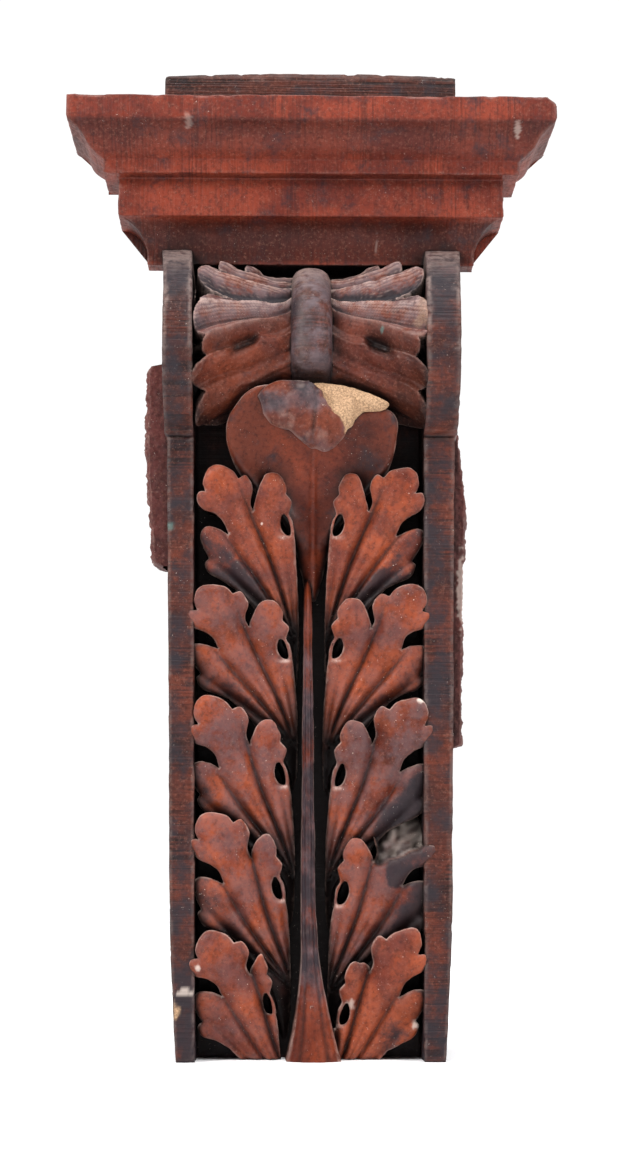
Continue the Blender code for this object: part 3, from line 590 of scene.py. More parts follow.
def on_leaf(p, side, k):
    """Points given about a leaf's eye, moved to where they lie on one of the ten leaves."""
    p = np.array(p, float)
    reach, stretch, eye = REACH[side][k], STRETCH[side][k], EYES[side][k]
    phase = 1.7 * k + side
    p[:, 0] += ramp(p[:, 0], 40, 80) * 1.2 * np.sin(0.09 * p[:, 1] + phase)
    p[:, 1] += ramp(p[:, 0], 40, 80) * 1.3 * np.sin(0.11 * p[:, 0] + 2 * phase)
    near = ramp(p[:, 0], 52, 40) * ramp(p[:, 1], -30, -20)
    p[:, 1] += LIFT[side][k] / stretch * near
    p[:, 0] += SQUEEZE[side][k] * ramp(p[:, 0], 48, 24)
    out = np.stack([LEAF_AXIS + (p[:, 0] - LEAF_AXIS) * reach, np.maximum(eye + p[:, 1] * stretch, 0.4)], 1)
    keep = [0]
    for i in range(1, len(out)):
        if np.linalg.norm(out[i] - out[keep[-1]]) > 0.6:
            keep.append(i)
    return out[keep]


def leaf_line(side, k):
    """Closed outline of a side leaf in x and z, with corners kept at the notches."""
    line = []
    for scallop in LEAF_EDGE:
        line += smooth_line(scallop, 1.4)
    line += smooth_line(STEM_EDGE, 3.0)
    return on_leaf(line, side, k)


def edge_distance(points, line):
    """Distance of each point to a closed line, and whether it lies inside."""
    best = np.full(len(points), 1e9)
    inside = np.zeros(len(points), bool)
    for p, q in zip(line, np.roll(line, -1, 0)):
        v, w = q - p, points - p
        t = np.clip((w @ v) / max(1e-9, v @ v), 0, 1)
        best = np.minimum(best, np.linalg.norm(w - t[:, None] * v, axis=1))
        with np.errstate(divide="ignore", invalid="ignore"):
            cross = p[0] + (points[:, 1] - p[1]) * v[0] / v[1]
        inside ^= ((p[1] > points[:, 1]) != (q[1] > points[:, 1])) & (points[:, 0] < cross)
    return best, inside


def area(line):
    """Area inside a closed line, negative where it runs clockwise."""
    following = np.roll(line, -1, 0)
    return 0.5 * np.sum(line[:, 0] * following[:, 1] - following[:, 0] * line[:, 1])


def carve(name, side, line, depth, step, drops, pillow=(3.0, 9.0), lip=2.2, hole=None):
    """Carved plate: a face at depth(points) inside an outline, its rim rounded, and walls running back.

    drops are (how far back, how far drawn in) steps of the wall; a third number below 1 shrinks the wall
    towards the middle of the piece. pillow is how much, and over what width, the face falls to its rim.
    hole is a closed line cut through the face."""
    turned = np.sign(area(line))
    loops = [line]
    if hole is not None:
        loops.append(hole if np.sign(area(hole)) != turned else hole[::-1])

    def distance(p):
        dist, inside = edge_distance(p, line)
        for other in loops[1:]:
            d, within = edge_distance(p, other)
            dist, inside = np.minimum(dist, d), inside & ~within
        return dist, inside

    inward = []
    for loop in loops:
        tangent = np.roll(loop, -1, 0) - np.roll(loop, 1, 0)
        v = np.stack([-tangent[:, 1], tangent[:, 0]], 1) * turned
        inward.append(v / (np.linalg.norm(v, axis=1)[:, None] + 1e-9))
    low, high = line.min(0), line.max(0)
    gx, gz = np.meshgrid(np.arange(low[0], high[0], step), np.arange(low[1], high[1], step))
    gx[::2] += step / 2
    inner = np.stack([gx.ravel(), gz.ravel()], 1)
    dist, inside = distance(inner)
    points = list(loops)
    for inset in (0.6, 1.5):
        for loop, v in zip(loops, inward):
            near = loop + v * inset
            d, within = distance(near)
            points.append(near[within & (d > inset * 0.9)])
    points.append(inner[inside & (dist > 2.3)])
    edges, start = [], 0
    for loop in loops:
        edges += [(start + i, start + (i + 1) % len(loop)) for i in range(len(loop))]
        start += len(loop)
    found, _, tris, _, _, _ = delaunay_2d_cdt([Vector(p) for p in np.vstack(points)], edges, [], 1, 1e-5)
    flat = np.array([(v.x, v.y) for v in found])
    tris = np.array([tuple(t) for t in tris])
    if len(loops) > 1:
        tris = tris[~edge_distance(flat[tris].mean(1), loops[1])[1]]
    dist, _ = distance(flat)
    fall = pillow[0] * np.clip(1 - dist / pillow[1], 0, 1) ** 2
    fall += lip * (1 - np.sqrt(1 - np.clip(1 - dist / lip, 0, 1) ** 2))
    verts = [(side * x, d, z) for (x, z), d in zip(flat, depth(flat) + fall)]
    faces = []
    for t in tris:
        a, b, c = flat[t[0]], flat[t[1]], flat[t[2]]
        turn = (b[0] - a[0]) * (c[1] - a[1]) - (b[1] - a[1]) * (c[0] - a[0])
        faces.append(tuple(t) if (turn > 0) == (side > 0) else tuple(reversed(t)))
    # the rim mark is a thin pale line along the outline, partly dust and partly painted highlight
    rim = [peak(dist, 0, 0.7)]
    middle = line.mean(0)
    for loop, v in zip(loops, inward):
        start = len(verts)
        top = depth(loop) + pillow[0] + lip
        for drop in drops:
            row = middle + (loop - middle) * drop[2] if len(drop) > 2 else loop + v * drop[1]
            for (x, z), d in zip(row, top):
                verts.append((side * x, min(d + drop[0], FLOOR_DEPTH + 2), max(z, 0.4)))
        for f in weave(len(drops), len(loop), closed=True, start=start):
            faces.append(tuple(f) if (turned > 0) != (side > 0) else tuple(reversed(f)))
        rim.append(np.repeat([0.5] + [0.0] * (len(drops) - 1), len(loop)))
    ob = piece(name, np.array(verts), faces, turn=False)
    mark(ob, worn=0.05 * np.ones(len(verts)), rim=np.concatenate(rim))
    return ob


def about_leaf(p, side, k):
    """Places of points on the leaf's pattern: x and z about its eye, distance and angle about its root."""
    x = LEAF_AXIS + (p[:, 0] - LEAF_AXIS) / REACH[side][k]
    z = (p[:, 1] - EYES[side][k]) / STRETCH[side][k]
    dx, dz = x - LEAF_ROOT[0], z - LEAF_ROOT[1]
    r = np.hypot(dx, dz)
    return x, z, r, np.degrees(np.arctan2(dx, dz)) + 1.5 * np.sin(r / 30 + k)


def leaf_depth(p, side, k):
    """Depth of the leaf face: root deep, tips forward, valleys fanning from the root between the lobes."""
    _, z, r, a = about_leaf(p, side, k)
    d = LEAF_TIP - (4 if k == 0 else 0) + LEAF_FALL * np.clip(1 - r / LEAF_LENGTH, 0, 1) ** 1.1
    d = d + 6 * ramp(a, 33, 46) + 2.5 * ramp(a, 18, 8) * ramp(r, 150, 90) + 0.4 * np.clip(-80 - z, 0, None)
    for mid, wide, deep, fade in VALLEYS:
        d = d + deep * np.exp(-(np.abs(a - mid) / wide) ** 1.4) * ramp(r, fade + 38, fade - 20)
    return d + 0.5 * flat_lattice(p, 16, 12, 7.0 * k)


def leaf_marks(p, side, k):
    """Soot on the lower lobes, grey film, painted shade near the root and in dark valley lines, a random
    darker mottle, and a pale, dusty ledge under the eye with a painted highlight.
    """
    x, z, r, a = about_leaf(p, side, k)
    level = 5.0 * k + 3 * side
    heavy = 0.95 if (side, k) in SOOTY_LEAVES else 0.45
    soot = heavy * ramp(a, 31, 44) * ramp(flat_lattice(p, 22, 14, level), -0.8, 0.5)
    mottle = flat_lattice(p, 13, 31, level) + 0.6 * flat_lattice(p, 5, 32, level)
    # painted shade near the root and, below, along the valley lines; the mottle is a random darker tone
    deep = 0.25 * ramp(r, 70, 20) + 0.25 * ramp(mottle, 0.1, 0.9)
    deep = deep + LEAF_TONE[side][k] * ramp(r, 60, 110)
    for mid, wide, deepness, fade in VALLEYS:
        line = peak(a, mid, 0.16 * wide + 24.0 / (r + 12))
        deep = np.maximum(deep, 0.09 * deepness * line * ramp(r, fade + 34, fade - 10))
    # the ledge under the eye is painted pale, as dust and as a painted highlight
    ledge = peak(x, LEDGE[0], 5) * peak(z, LEDGE[1] + LIFT[side][k], 1.6)
    return {"soot": soot, "deep": deep, "grey": LEAF_GREY[side][k] + 0 * x, "dust": 0.8 * ledge}


def leaf(side, k):
    """One side leaf; the upper lobe of the broken one ends in a rough stub."""
    line = leaf_line(side, k)
    broken = side > 0 and k == BROKEN_PAIR

    def depth(p):
        d = leaf_depth(p, side, k)
        if broken:
            gone = stub(p, EYES[side][k])
            rough = 4.5 * flat_lattice(p, 7, 21)
            d = d + gone * (STUB_DEPTH - d + rough + 0.25 * (p[:, 1] - EYES[side][k]))
        return d

    eye = on_leaf(smooth_line(EYE_EDGE + EYE_EDGE[:1], 1.2), side, k)
    name = f"leaf_{k + 1}_{'left' if side < 0 else 'right'}"
    ob = carve(name, side, line, depth, LEAF_STEP, LEAF_DROPS, hole=eye)
    co = mesh_arrays(ob)[0] / MM
    p = np.stack([side * co[:, 0], co[:, 2]], 1)
    mark(ob, **leaf_marks(p, side, k))
    if broken:
        torn = stub(p, EYES[side][k])
        across = p[:, 1] - EYES[side][k] - 0.5 * (p[:, 0] - 60)
        blotch = ramp(lattice(np.stack([0.4 * p[:, 0], across, co[:, 1]], 1), 4, 71), -0.5, 0.5)
        shade = ramp(p[:, 0] + 4 * lattice(co, 6, 72), 72, 55)
        below = ramp(p[:, 0], 58, 66) * ramp(p[:, 1] - EYES[side][k], -8, 2)
        mark(ob, lime=torn * (0.05 + 0.24 * blotch) * (1 - 0.85 * shade), grey=np.maximum(0.45, torn),
             soot=np.maximum(marks[ob.name]["soot"], 0.9 * below * (1 - torn)),
             deep=np.maximum(marks[ob.name]["deep"], torn * (0.35 + 0.5 * shade)))
    return ob


def stub(p, eye):
    """1 where the upper lobe is broken away: above a slanting line, beyond the lobe by the stem."""
    jag = flat_lattice(p, 6, 73)
    x, rise, slope = STUB_LINE
    above = (p[:, 1] - eye) - (rise + slope * (p[:, 0] - x)) + 2.5 * jag
    return ramp(above, -1.5, 2.5) * ramp(p[:, 0] + 4 * jag, 52, 57)


# Stem and top leaf

def stem():
    """Slim round rib with two fine raised lines, flaring at the foot."""
    z = np.r_[0, np.arange(3, STEM_TOP, 3.0), STEM_TOP][:, None]
    u = np.linspace(-1.15, 1.15, 48)[None, :]
    half = STEM_HALF_LOW - (STEM_HALF_LOW - STEM_HALF_TOP) * (z / STEM_TOP) ** 0.8
    half = half + STEM_FLARE * np.clip(1 - z / STEM_FLARE_Z, 0, 1) ** 1.8
    x = STEM_X + STEM_FOOT_SHIFT * ramp(z, STEM_FOOT_Z, 0) + half * u
    front = STEM_FRONT + 4 * ramp(z, 250, 380) - 3 * ramp(z, 60, 0) + STEM_FALL * ramp(z, 378, 414)
    sink = 5.5 * np.clip(np.abs(u), 0, 1) ** 2.2 * (1 + 0.8 * ramp(z, 90, 10))
    cut = 1.3 * peak(np.abs(u), 0.5, 0.12) + 0.8 * peak(u, 0, 0.1)
    sink = sink + cut * ramp(z, 395, 350)
    d = np.where(np.abs(u) > 1, FLOOR_DEPTH + 2, front + sink)
    ob = grid("stem", np.stack([x, d * np.ones_like(x), z * np.ones_like(x)], -1))
    # painted shade: the grooves, the flanks and the top where the stem falls back into the big leaf are
    # darkened through the deep mark
    groove = peak(np.abs(u), 0.5, 0.10)
    side_on = ramp(np.abs(u), 0.8, 1.0) * np.ones_like(z)
    low = ramp(z, 385, 340)
    mark(ob, soot=0.7 * ramp(z, 20, 90) * ramp(z, 380, 250) * np.ones_like(x),
         grey=0.95 * ramp(z, 20, 100) * ramp(z, 400, 300) * np.ones_like(x),
         deep=(0.22 + 0.45 * groove + 0.3 * side_on) * low + (0.25 + 0.35 * np.abs(u)) * (1 - low),
         worn=0.5 * low * np.ones_like(x))
    return ob


# outline of the big top leaf: up its left side, over the top and down the right
BLADE_EDGE = (
    (-4, 386), (-8, 408), (-14, 432), (-24, 452), (-42, 472), (-60, 490), (-70, 508), (-73, 524), (-71, 536),
    (-64, 547), (-53, 557), (-38, 561), (-15, 558), (10, 550), (30, 542), (50, 543), (66, 542.5), (73, 536),
    (74, 526), (71.5, 510), (65, 492), (46, 472), (26, 450), (17, 432), (11, 408), (5, 386),
)


def blade_depth(p):
    """A bowl that leans out: deep at the stem, its rim forward, with a raised rib up the middle."""
    x, z = p[:, 0] - BLADE_X, p[:, 1]
    t = np.clip((BLADE_TOP - z) / (BLADE_TOP - BLADE_LOW), 0, 1)
    half = BLADE_TAIL_HALF + (BLADE_HALF - BLADE_TAIL_HALF) * ramp(z, BLADE_LOW, BLADE_WIDE_Z)
    u = np.clip(np.abs(x) / half, 0, 1)
    bowl = BLADE_BOWL * (1 - u ** 2.2) * ramp(t, 0.05, 0.5) * ramp(t, 1.0, 0.6)
    d = BLADE_FRONT + (BLADE_ROOT - BLADE_FRONT) * t ** 0.85 + bowl
    d = d - BLADE_RIB * peak(x, 0, 2.6) * ramp(z, 540, 500)
    return d + 0.6 * flat_lattice(p, 24, 15)


def blade():
    """Big leaf rising from the stem and leaning out under the scroll."""
    line = np.array(smooth_line(BLADE_EDGE + BLADE_EDGE[:1], 2.0))
    drops = ((0, 0), (3, 0.2), (7, 1.2), (12, 0, 0.93), (22, 0, 0.78), (38, 0, 0.55), (60, 0, 0.3))
    ob = carve("top_leaf", 1, line, blade_depth, 1.6, drops, pillow=(4.0, 9.0), lip=3.5)
    co = mesh_arrays(ob)[0] / MM
    # painted shade: the right half of the blade is darkened, with noise, through the soot mark over a little
    # real soot; the deep mark shades its lower part by the stem and its flanks, and is taken off the midrib
    # as a painted highlight
    dark = ramp(co[:, 0], 20, 60) * ramp(lattice(co, 20, 17), -0.8, 0.6)
    aside = np.abs(co[:, 0] - BLADE_X)
    rib = peak(aside, 0, 1.3) * ramp(co[:, 2], 520, 500)
    low = ramp(co[:, 2], 470, 410) * ramp(aside, 4, 12)
    deep = 0.12 + 0.35 * low + 0.42 * ramp(aside, 15, 50) - 0.6 * rib
    mark(ob, soot=0.1 + 0.5 * dark, deep=np.clip(deep, 0, 1))
    return ob


# outline of the rolled tip with the break beside it, and the edge between them
TIP_EDGE = (
    (-46, 551), (-43, 557), (-36, 561), (-30, 563.5), (-22, 564.5), (-12, 563.5), (-4, 563), (8, 565),
    (22, 563.5), (38, 560), (54, 554), (66, 547), (60, 541), (49, 540), (44, 539.5), (38, 534), (34.5, 526.5),
    (30, 522), (27, 516), (22, 510), (16, 505), (10, 503), (4, 505), (-2, 506), (-11, 513), (-19, 520),
    (-27, 522), (-34, 526), (-39, 532), (-42, 538), (-43, 545),
)
TIP_SPLIT = ((-6, 566), (3, 559), (10, 552), (12, 545), (17, 536), (25, 529), (29, 521))


def broken_part(p):
    """1 on the break beside the rolled tip, 0 on the tip itself."""
    split = np.array(TIP_SPLIT, float)
    border = np.interp(-p[:, 1], -split[:, 1], split[:, 0])
    jag = 1.2 * flat_lattice(p, 4, 19)
    return ramp(p[:, 0] - border + jag, -0.8, 0.8)


def crease(p, width):
    """The crease that runs down the roll, leaning a little: 1 on its line."""
    return peak(p[:, 0] - 3 - 0.1 * (p[:, 1] - 540), 0, width) * ramp(p[:, 1], 505, 520)


def tip_depth(p):
    """The roll bulges forward with a crease down it; the break slopes back and up from its right edge."""
    x, z = p[:, 0], p[:, 1]
    away = ((x - TIP_MIDDLE[0]) / TIP_HALF[0]) ** 2 + ((z - TIP_MIDDLE[1]) / TIP_HALF[1]) ** 2
    roll = TIP_SIDE - TIP_BULGE * np.sqrt(np.clip(1 - away, 0, 1))
    roll = roll + 2.0 * crease(p, 1.6)
    roll = roll + 1.5 * peak(x + 24 - 0.3 * (z - 540), 0, 4)
    roll = roll + 1.6 * flat_lattice(p, 11, 23) + 0.7 * flat_lattice(p, 4, 24)
    torn = TORN_LOW[0] + TORN_SLOPE * (z - TORN_LOW[1])
    torn = torn + 1.8 * flat_lattice(p, 9, 25) + 0.9 * flat_lattice(p, 3, 26)
    b = broken_part(p)
    return roll * (1 - b) + np.maximum(torn, roll + 1.0) * b


def tip():
    """Rolled end of the top leaf, its right half broken off down to the sandy body."""
    line = np.array(smooth_line(TIP_EDGE + TIP_EDGE[:1], 1.6))
    drops = ((0, 0), (2, 0.1), (6, 1.5), (12, 0, 0.9), (24, 0, 0.7))
    ob = carve("leaf_tip", 1, line, tip_depth, 1.1, drops, pillow=(3.0, 7.0), lip=2.5)
    co = mesh_arrays(ob)[0] / MM
    p = co[:, [0, 2]]
    torn = broken_part(p)
    grey = (1 - torn) * ramp(lattice(co, 16, 27), -0.7, 0.5)
    bare = ramp(lattice(co, 9, 28) + 0.4 * lattice(co, 4, 29), 0.1, 0.9)
    # painted shade in the crease down the roll through the deep mark, over a plain darker tone
    mark(ob, pale=torn, soot=0.55 * grey, grey=0.9 * grey, deep=(0.2 + 0.5 * crease(p, 1.8)) * (1 - torn),
         dust=0.18 * bare * (1 - torn))
    return ob


# Broken side remains

# outer line of the remains on each side: height and half width, from the bottom up
LUG_EDGE = {
    -1: ((415, 128), (416, 131), (419, 135.5), (431, 137.6), (456, 139.6), (474, 141), (500, 143),
         (545, 144.4), (589, 144), (594, 141), (596, 129)),
    1: ((258, 120), (261, 128.7), (343, 130.6), (421, 133.4), (475, 136), (492, 133.5), (528, 129.6),
        (551, 128), (560, 125.5)),
}


def lug(side):
    """Ragged remains of a broken lug along one side: a flat dressed front and a torn outer face."""
    heights, outs = (np.array(v, float) for v in zip(*LUG_EDGE[side]))
    z = np.linspace(heights[0], heights[-1], int((heights[-1] - heights[0]) / 1.3))[:, None]
    s = np.linspace(0, 1, 54)[None, :]
    inn = half_width(np.minimum(z, STEP_Z)) - LUG_ROOT + 0 * s
    out = np.interp(z, heights, outs) + 0 * s
    along = np.clip(s / 0.4, 0, 1) - np.clip((s - 0.85) / 0.15, 0, 1)
    d = LUG_FRONT + LUG_THICK * np.clip((s - 0.36) / 0.5, 0, 1) + 0 * z
    torn = ramp(s, 0.34, 0.44) * ramp(s, 1.0, 0.9)
    flat = np.stack([side * out, d, z + 0 * s], -1)
    rough = 2.3 * lattice(flat, 9, 5 + side) + 1.3 * lattice(flat, 4, 8 + side) + 0.8 * lattice(flat, 2, 9)
    x = inn + (out - inn + torn * rough) * along
    d = d + (1 - torn) * 0.5 * lattice(flat, 12, 33)
    name = "side_remains_left" if side < 0 else "side_remains_right"
    ob = grid(name, np.stack([side * x, d, z + 0 * s], -1))
    face_out(ob, (side, 0, 0))
    mark(ob, rim=0.45 * torn * (rough > 0.3))
    return ob


# Weathering, painted shade and painted edge highlights

def mesh_arrays(ob):
    """Places, normals and edges of a piece's mesh."""
    me = ob.data
    co = np.empty(len(me.vertices) * 3, np.float32)
    me.vertices.foreach_get("co", co)
    no = np.empty(len(me.vertices) * 3, np.float32)
    me.vertex_normals.foreach_get("vector", no)
    ed = np.empty(len(me.edges) * 2, np.int32)
    me.edges.foreach_get("vertices", ed)
    return co.reshape(-1, 3).astype(float), no.reshape(-1, 3).astype(float), ed.reshape(-1, 2)


def spread(values, edges, count):
    """Average of each vertex with its neighbours, several times."""
    for _ in range(count):
        total = values.copy()
        share = np.ones(len(values))
        np.add.at(total, edges[:, 0], values[edges[:, 1]])
        np.add.at(total, edges[:, 1], values[edges[:, 0]])
        np.add.at(share, edges[:, 0], 1)
        np.add.at(share, edges[:, 1], 1)
        values = total / share.reshape((-1,) + (1,) * (values.ndim - 1))
    return values


def convexity(co, no, edges):
    """Positive on outer edges, negative in creases, in rough millimetres over a small patch."""
    base = spread(co, edges, 3)
    return np.einsum("ij,ij->i", co - base, no) / MM


def wear(ob, chips, grain):
    """Uneven clay: soft waviness, fine grain and small losses along the arrises."""
    co, no, edges = mesh_arrays(ob)
    p = co / MM
    bulge = convexity(co, no, edges)
    move = 0.45 * lattice(p, 26, 1) + 0.25 * lattice(p, 7, 2) + grain * lattice(p, 2.3, 3)
    loss = ramp(bulge, 0.03, 0.25) * ramp(lattice(p, 9, 4) + 0.5 * lattice(p, 3.5, 6), 0.25, 0.7)
    co = co + no * ((move - chips * loss) * MM)[:, None]
    co[:, 1] = np.clip(co[:, 1], LOW.y + 0.0002, HIGH.y)
    co[:, 2] = np.clip(co[:, 2], 0.0, HIGH.z)
    co[:, 0] = np.clip(co[:, 0], LOW.x, HIGH.x)
    ob.data.vertices.foreach_set("co", co.ravel())
    ob.data.update()


def directions(count):
    """Evenly spread unit vectors over a half ball about +z."""
    k = np.arange(count) + 0.5
    z = 1 - k / count * 0.93
    a = k * 2.399963
    r = np.sqrt(1 - z * z)
    return np.stack([r * np.cos(a), r * np.sin(a), z], 1)


def paint(pieces):
    """Store on every vertex how enclosed it is, for painted shade, how much it is an outer edge, for pale,
    dusty edges and painted highlight, and the piece's own marks.
    """
    verts, polys, start = [], [], 0
    for ob in pieces:
        co, _, _ = mesh_arrays(ob)
        verts.append(co)
        polys += [[start + i for i in f.vertices] for f in ob.data.polygons]
        start += len(co)
    tree = BVHTree.FromPolygons(np.vstack(verts).tolist(), polys)
    fan = directions(12)
    for ob in pieces:
        co, no, edges = mesh_arrays(ob)
        helper = np.where(np.abs(no[:, :1]) < 0.8, [[1.0, 0, 0]], [[0, 1.0, 0]])
        t = np.cross(no, helper)
        t /= np.linalg.norm(t, axis=1)[:, None] + 1e-12
        b = np.cross(no, t)
        origin = co + no * 0.0006
        shut = np.zeros(len(co))
        for f in fan:
            rays = t * f[0] + b * f[1] + no * f[2]
            for i, (o, r) in enumerate(zip(origin.tolist(), rays.tolist())):
                hit = tree.ray_cast(o, r, HOLLOW_REACH)[3]
                if hit is not None:
                    shut[i] += 1 - 0.5 * hit / HOLLOW_REACH
        stain(ob, co)
        layers = marks.get(ob.name, {})
        bulge = ramp(convexity(co, no, edges), 0.10, 0.45) * layers.get("worn", EDGE_WEAR_AND_HIGHLIGHT)
        # painted shade: how enclosed each vertex is, later darkened towards near black in its colour
        layers["hollow"] = spread(shut / len(fan), edges, 2)
        # painted highlight: pale edges are stronger where they face up towards the lamps; the paleness is
        # partly dust as well
        rim = np.maximum(bulge, layers.get("rim", 0)) * (0.35 + 0.65 * ramp(no[:, 2], -0.4, 0.5))
        patchy = 0.5 + 0.5 * ramp(lattice(co / MM, 10, 52), -0.6, 0.3)
        layers["edge"] = np.maximum(rim * patchy, layers.get("dust", 0))
        for name in LAYERS:
            values = layers.get(name, np.zeros(len(co)))
            layer = ob.data.attributes.new(name, "FLOAT", "POINT")
            layer.data.foreach_set("value", values.astype(np.float32))


# stains that sit in one place: piece, layer, x, height, half width, half height, strength
STAINS = (
    ("console_body", "copper", -119.4, 445.2, 4.0, 4.0, 0.4),
    ("console_body", "lime", -103.3, 56.4, 7.0, 4.0, 0.5),
    ("console_body", "pale", -110.5, 41.3, 3.0, 7.0, 0.9),
    ("leaf_3_right", "lime", 92.9, 296.7, 5.5, 3.5, 0.9),
    ("leaf_5_left", "lime", -93.0, 76.0, 2.4, 3.4, 0.6),
    ("leaf_5_right", "lime", 32.6, 46.0, 4.0, 4.5, 0.5),
    ("cap", "lime", -106.5, 790.0, 4.0, 6.0, 0.14),
    ("cap", "lime", 177.3, 785.4, 3.0, 7.0, 0.26),
    ("cap", "lime", 58.0, 700.0, 0.9, 14.0, 0.14),
    ("bolster_right", "copper", 59.9, 609.1, 1.6, 4.0, 0.45),
    ("leaf_1_left", "lime", -41.9, 448.1, 1.3, 1.3, 1.0),
    ("side_remains_right", "lime", 131.0, 392.0, 5.0, 38.0, 0.3),
    ("leaf_5_right", "lime", 88.0, 30.0, 5.0, 5.0, 0.6),
    ("leaf_4_left", "lime", -83.0, 205.0, 9.0, 2.0, 0.5),
)


def stain(ob, co):
    """Soft edged spots of lime, copper green or bare body, broken up so that they look smeared."""
    p = co / MM
    for name, layer, x, z, wide, tall, strength in STAINS:
        if name == ob.name:
            away = np.hypot((p[:, 0] - x) / wide, (p[:, 2] - z) / tall) + 0.45 * lattice(p, 2.4, 51)
            spot = strength * ramp(away, 1.0, 0.55) * (p[:, 1] < 0.02 / MM)
            layers = marks.setdefault(name, {})
            layers[layer] = np.maximum(layers.get(layer, 0), spot)


# Materials

class Nodes:
    """Small helper to wire the nodes of a material or world."""

    def __init__(self, owner, coordinates="Object"):
        owner.use_nodes = True
        self.tree = owner.node_tree
        self.coords = self.tree.nodes.new("ShaderNodeTexCoord").outputs[coordinates]

    def link(self, a, b):
        self.tree.links.new(a, b)

    def attribute(self, name):
        node = self.tree.nodes.new("ShaderNodeAttribute")
        node.attribute_name = name
        return node.outputs["Fac"]

    def noise(self, size, detail=4.0, rough=0.55, stretch=None):
        node = self.tree.nodes.new("ShaderNodeTexNoise")
        node.inputs["Scale"].default_value = 1.0 / (size * MM)
        node.inputs["Detail"].default_value = detail
        node.inputs["Roughness"].default_value = rough
        source = self.coords
        if stretch:
            mapping = self.tree.nodes.new("ShaderNodeMapping")
            mapping.inputs["Scale"].default_value = stretch
            self.link(self.coords, mapping.inputs["Vector"])
            source = mapping.outputs["Vector"]
        self.link(source, node.inputs["Vector"])
        return node.outputs["Fac"]

    def across(self, axis):
        """Place along one of the axes; an object's own are in metres."""
        node = self.tree.nodes.new("ShaderNodeSeparateXYZ")
        self.link(self.coords, node.inputs[0])
        return node.outputs[axis]

    def math(self, kind, a, b=0.0, c=0.0):
        node = self.tree.nodes.new("ShaderNodeMath")
        node.operation = kind
        for k, v in enumerate((a, b, c)):
            if isinstance(v, (int, float)):
                node.inputs[k].default_value = v
            else:
                self.link(v, node.inputs[k])
        return node.outputs[0]

    def times(self, a, b):
        return self.math("MULTIPLY", a, b)

    def plus(self, a, b):
        return self.math("ADD", a, b)

    def between(self, value, low, high, out_low=0.0, out_high=1.0):
        node = self.tree.nodes.new("ShaderNodeMapRange")
        node.interpolation_type = "SMOOTHSTEP"
        self.link(value, node.inputs["Value"])
        for name, v in (("From Min", low), ("From Max", high), ("To Min", out_low), ("To Max", out_high)):
            node.inputs[name].default_value = v
        return node.outputs["Result"]

    def mix(self, fac, a, b):
        node = self.tree.nodes.new("ShaderNodeMix")
        node.data_type = "RGBA"
        self.link(fac, node.inputs["Factor"])
        for socket, v in ((node.inputs[6], a), (node.inputs[7], b)):
            if isinstance(v, tuple):
                socket.default_value = v + (1.0,)
            else:
                self.link(v, socket)
        return node.outputs[2]


SOOT = (0.016, 0.013, 0.017)
GREY = (0.115, 0.088, 0.098)
# near-black colour of the painted shade in enclosed places
OCCLUSION_SHADE = (0.006, 0.003, 0.003)
# pale colour of dust and of painted highlights along the edges
PALE_DUST_AND_HIGHLIGHT = (0.52, 0.37, 0.32)
LIME = (0.66, 0.55, 0.48)
COPPER = (0.10, 0.20, 0.18)
FILM = (0.25, 0.105, 0.07)
BUFF = (0.54, 0.34, 0.20)


def dim(colour, share):
    """A darker tone of a colour."""
    return tuple(c * share for c in colour)


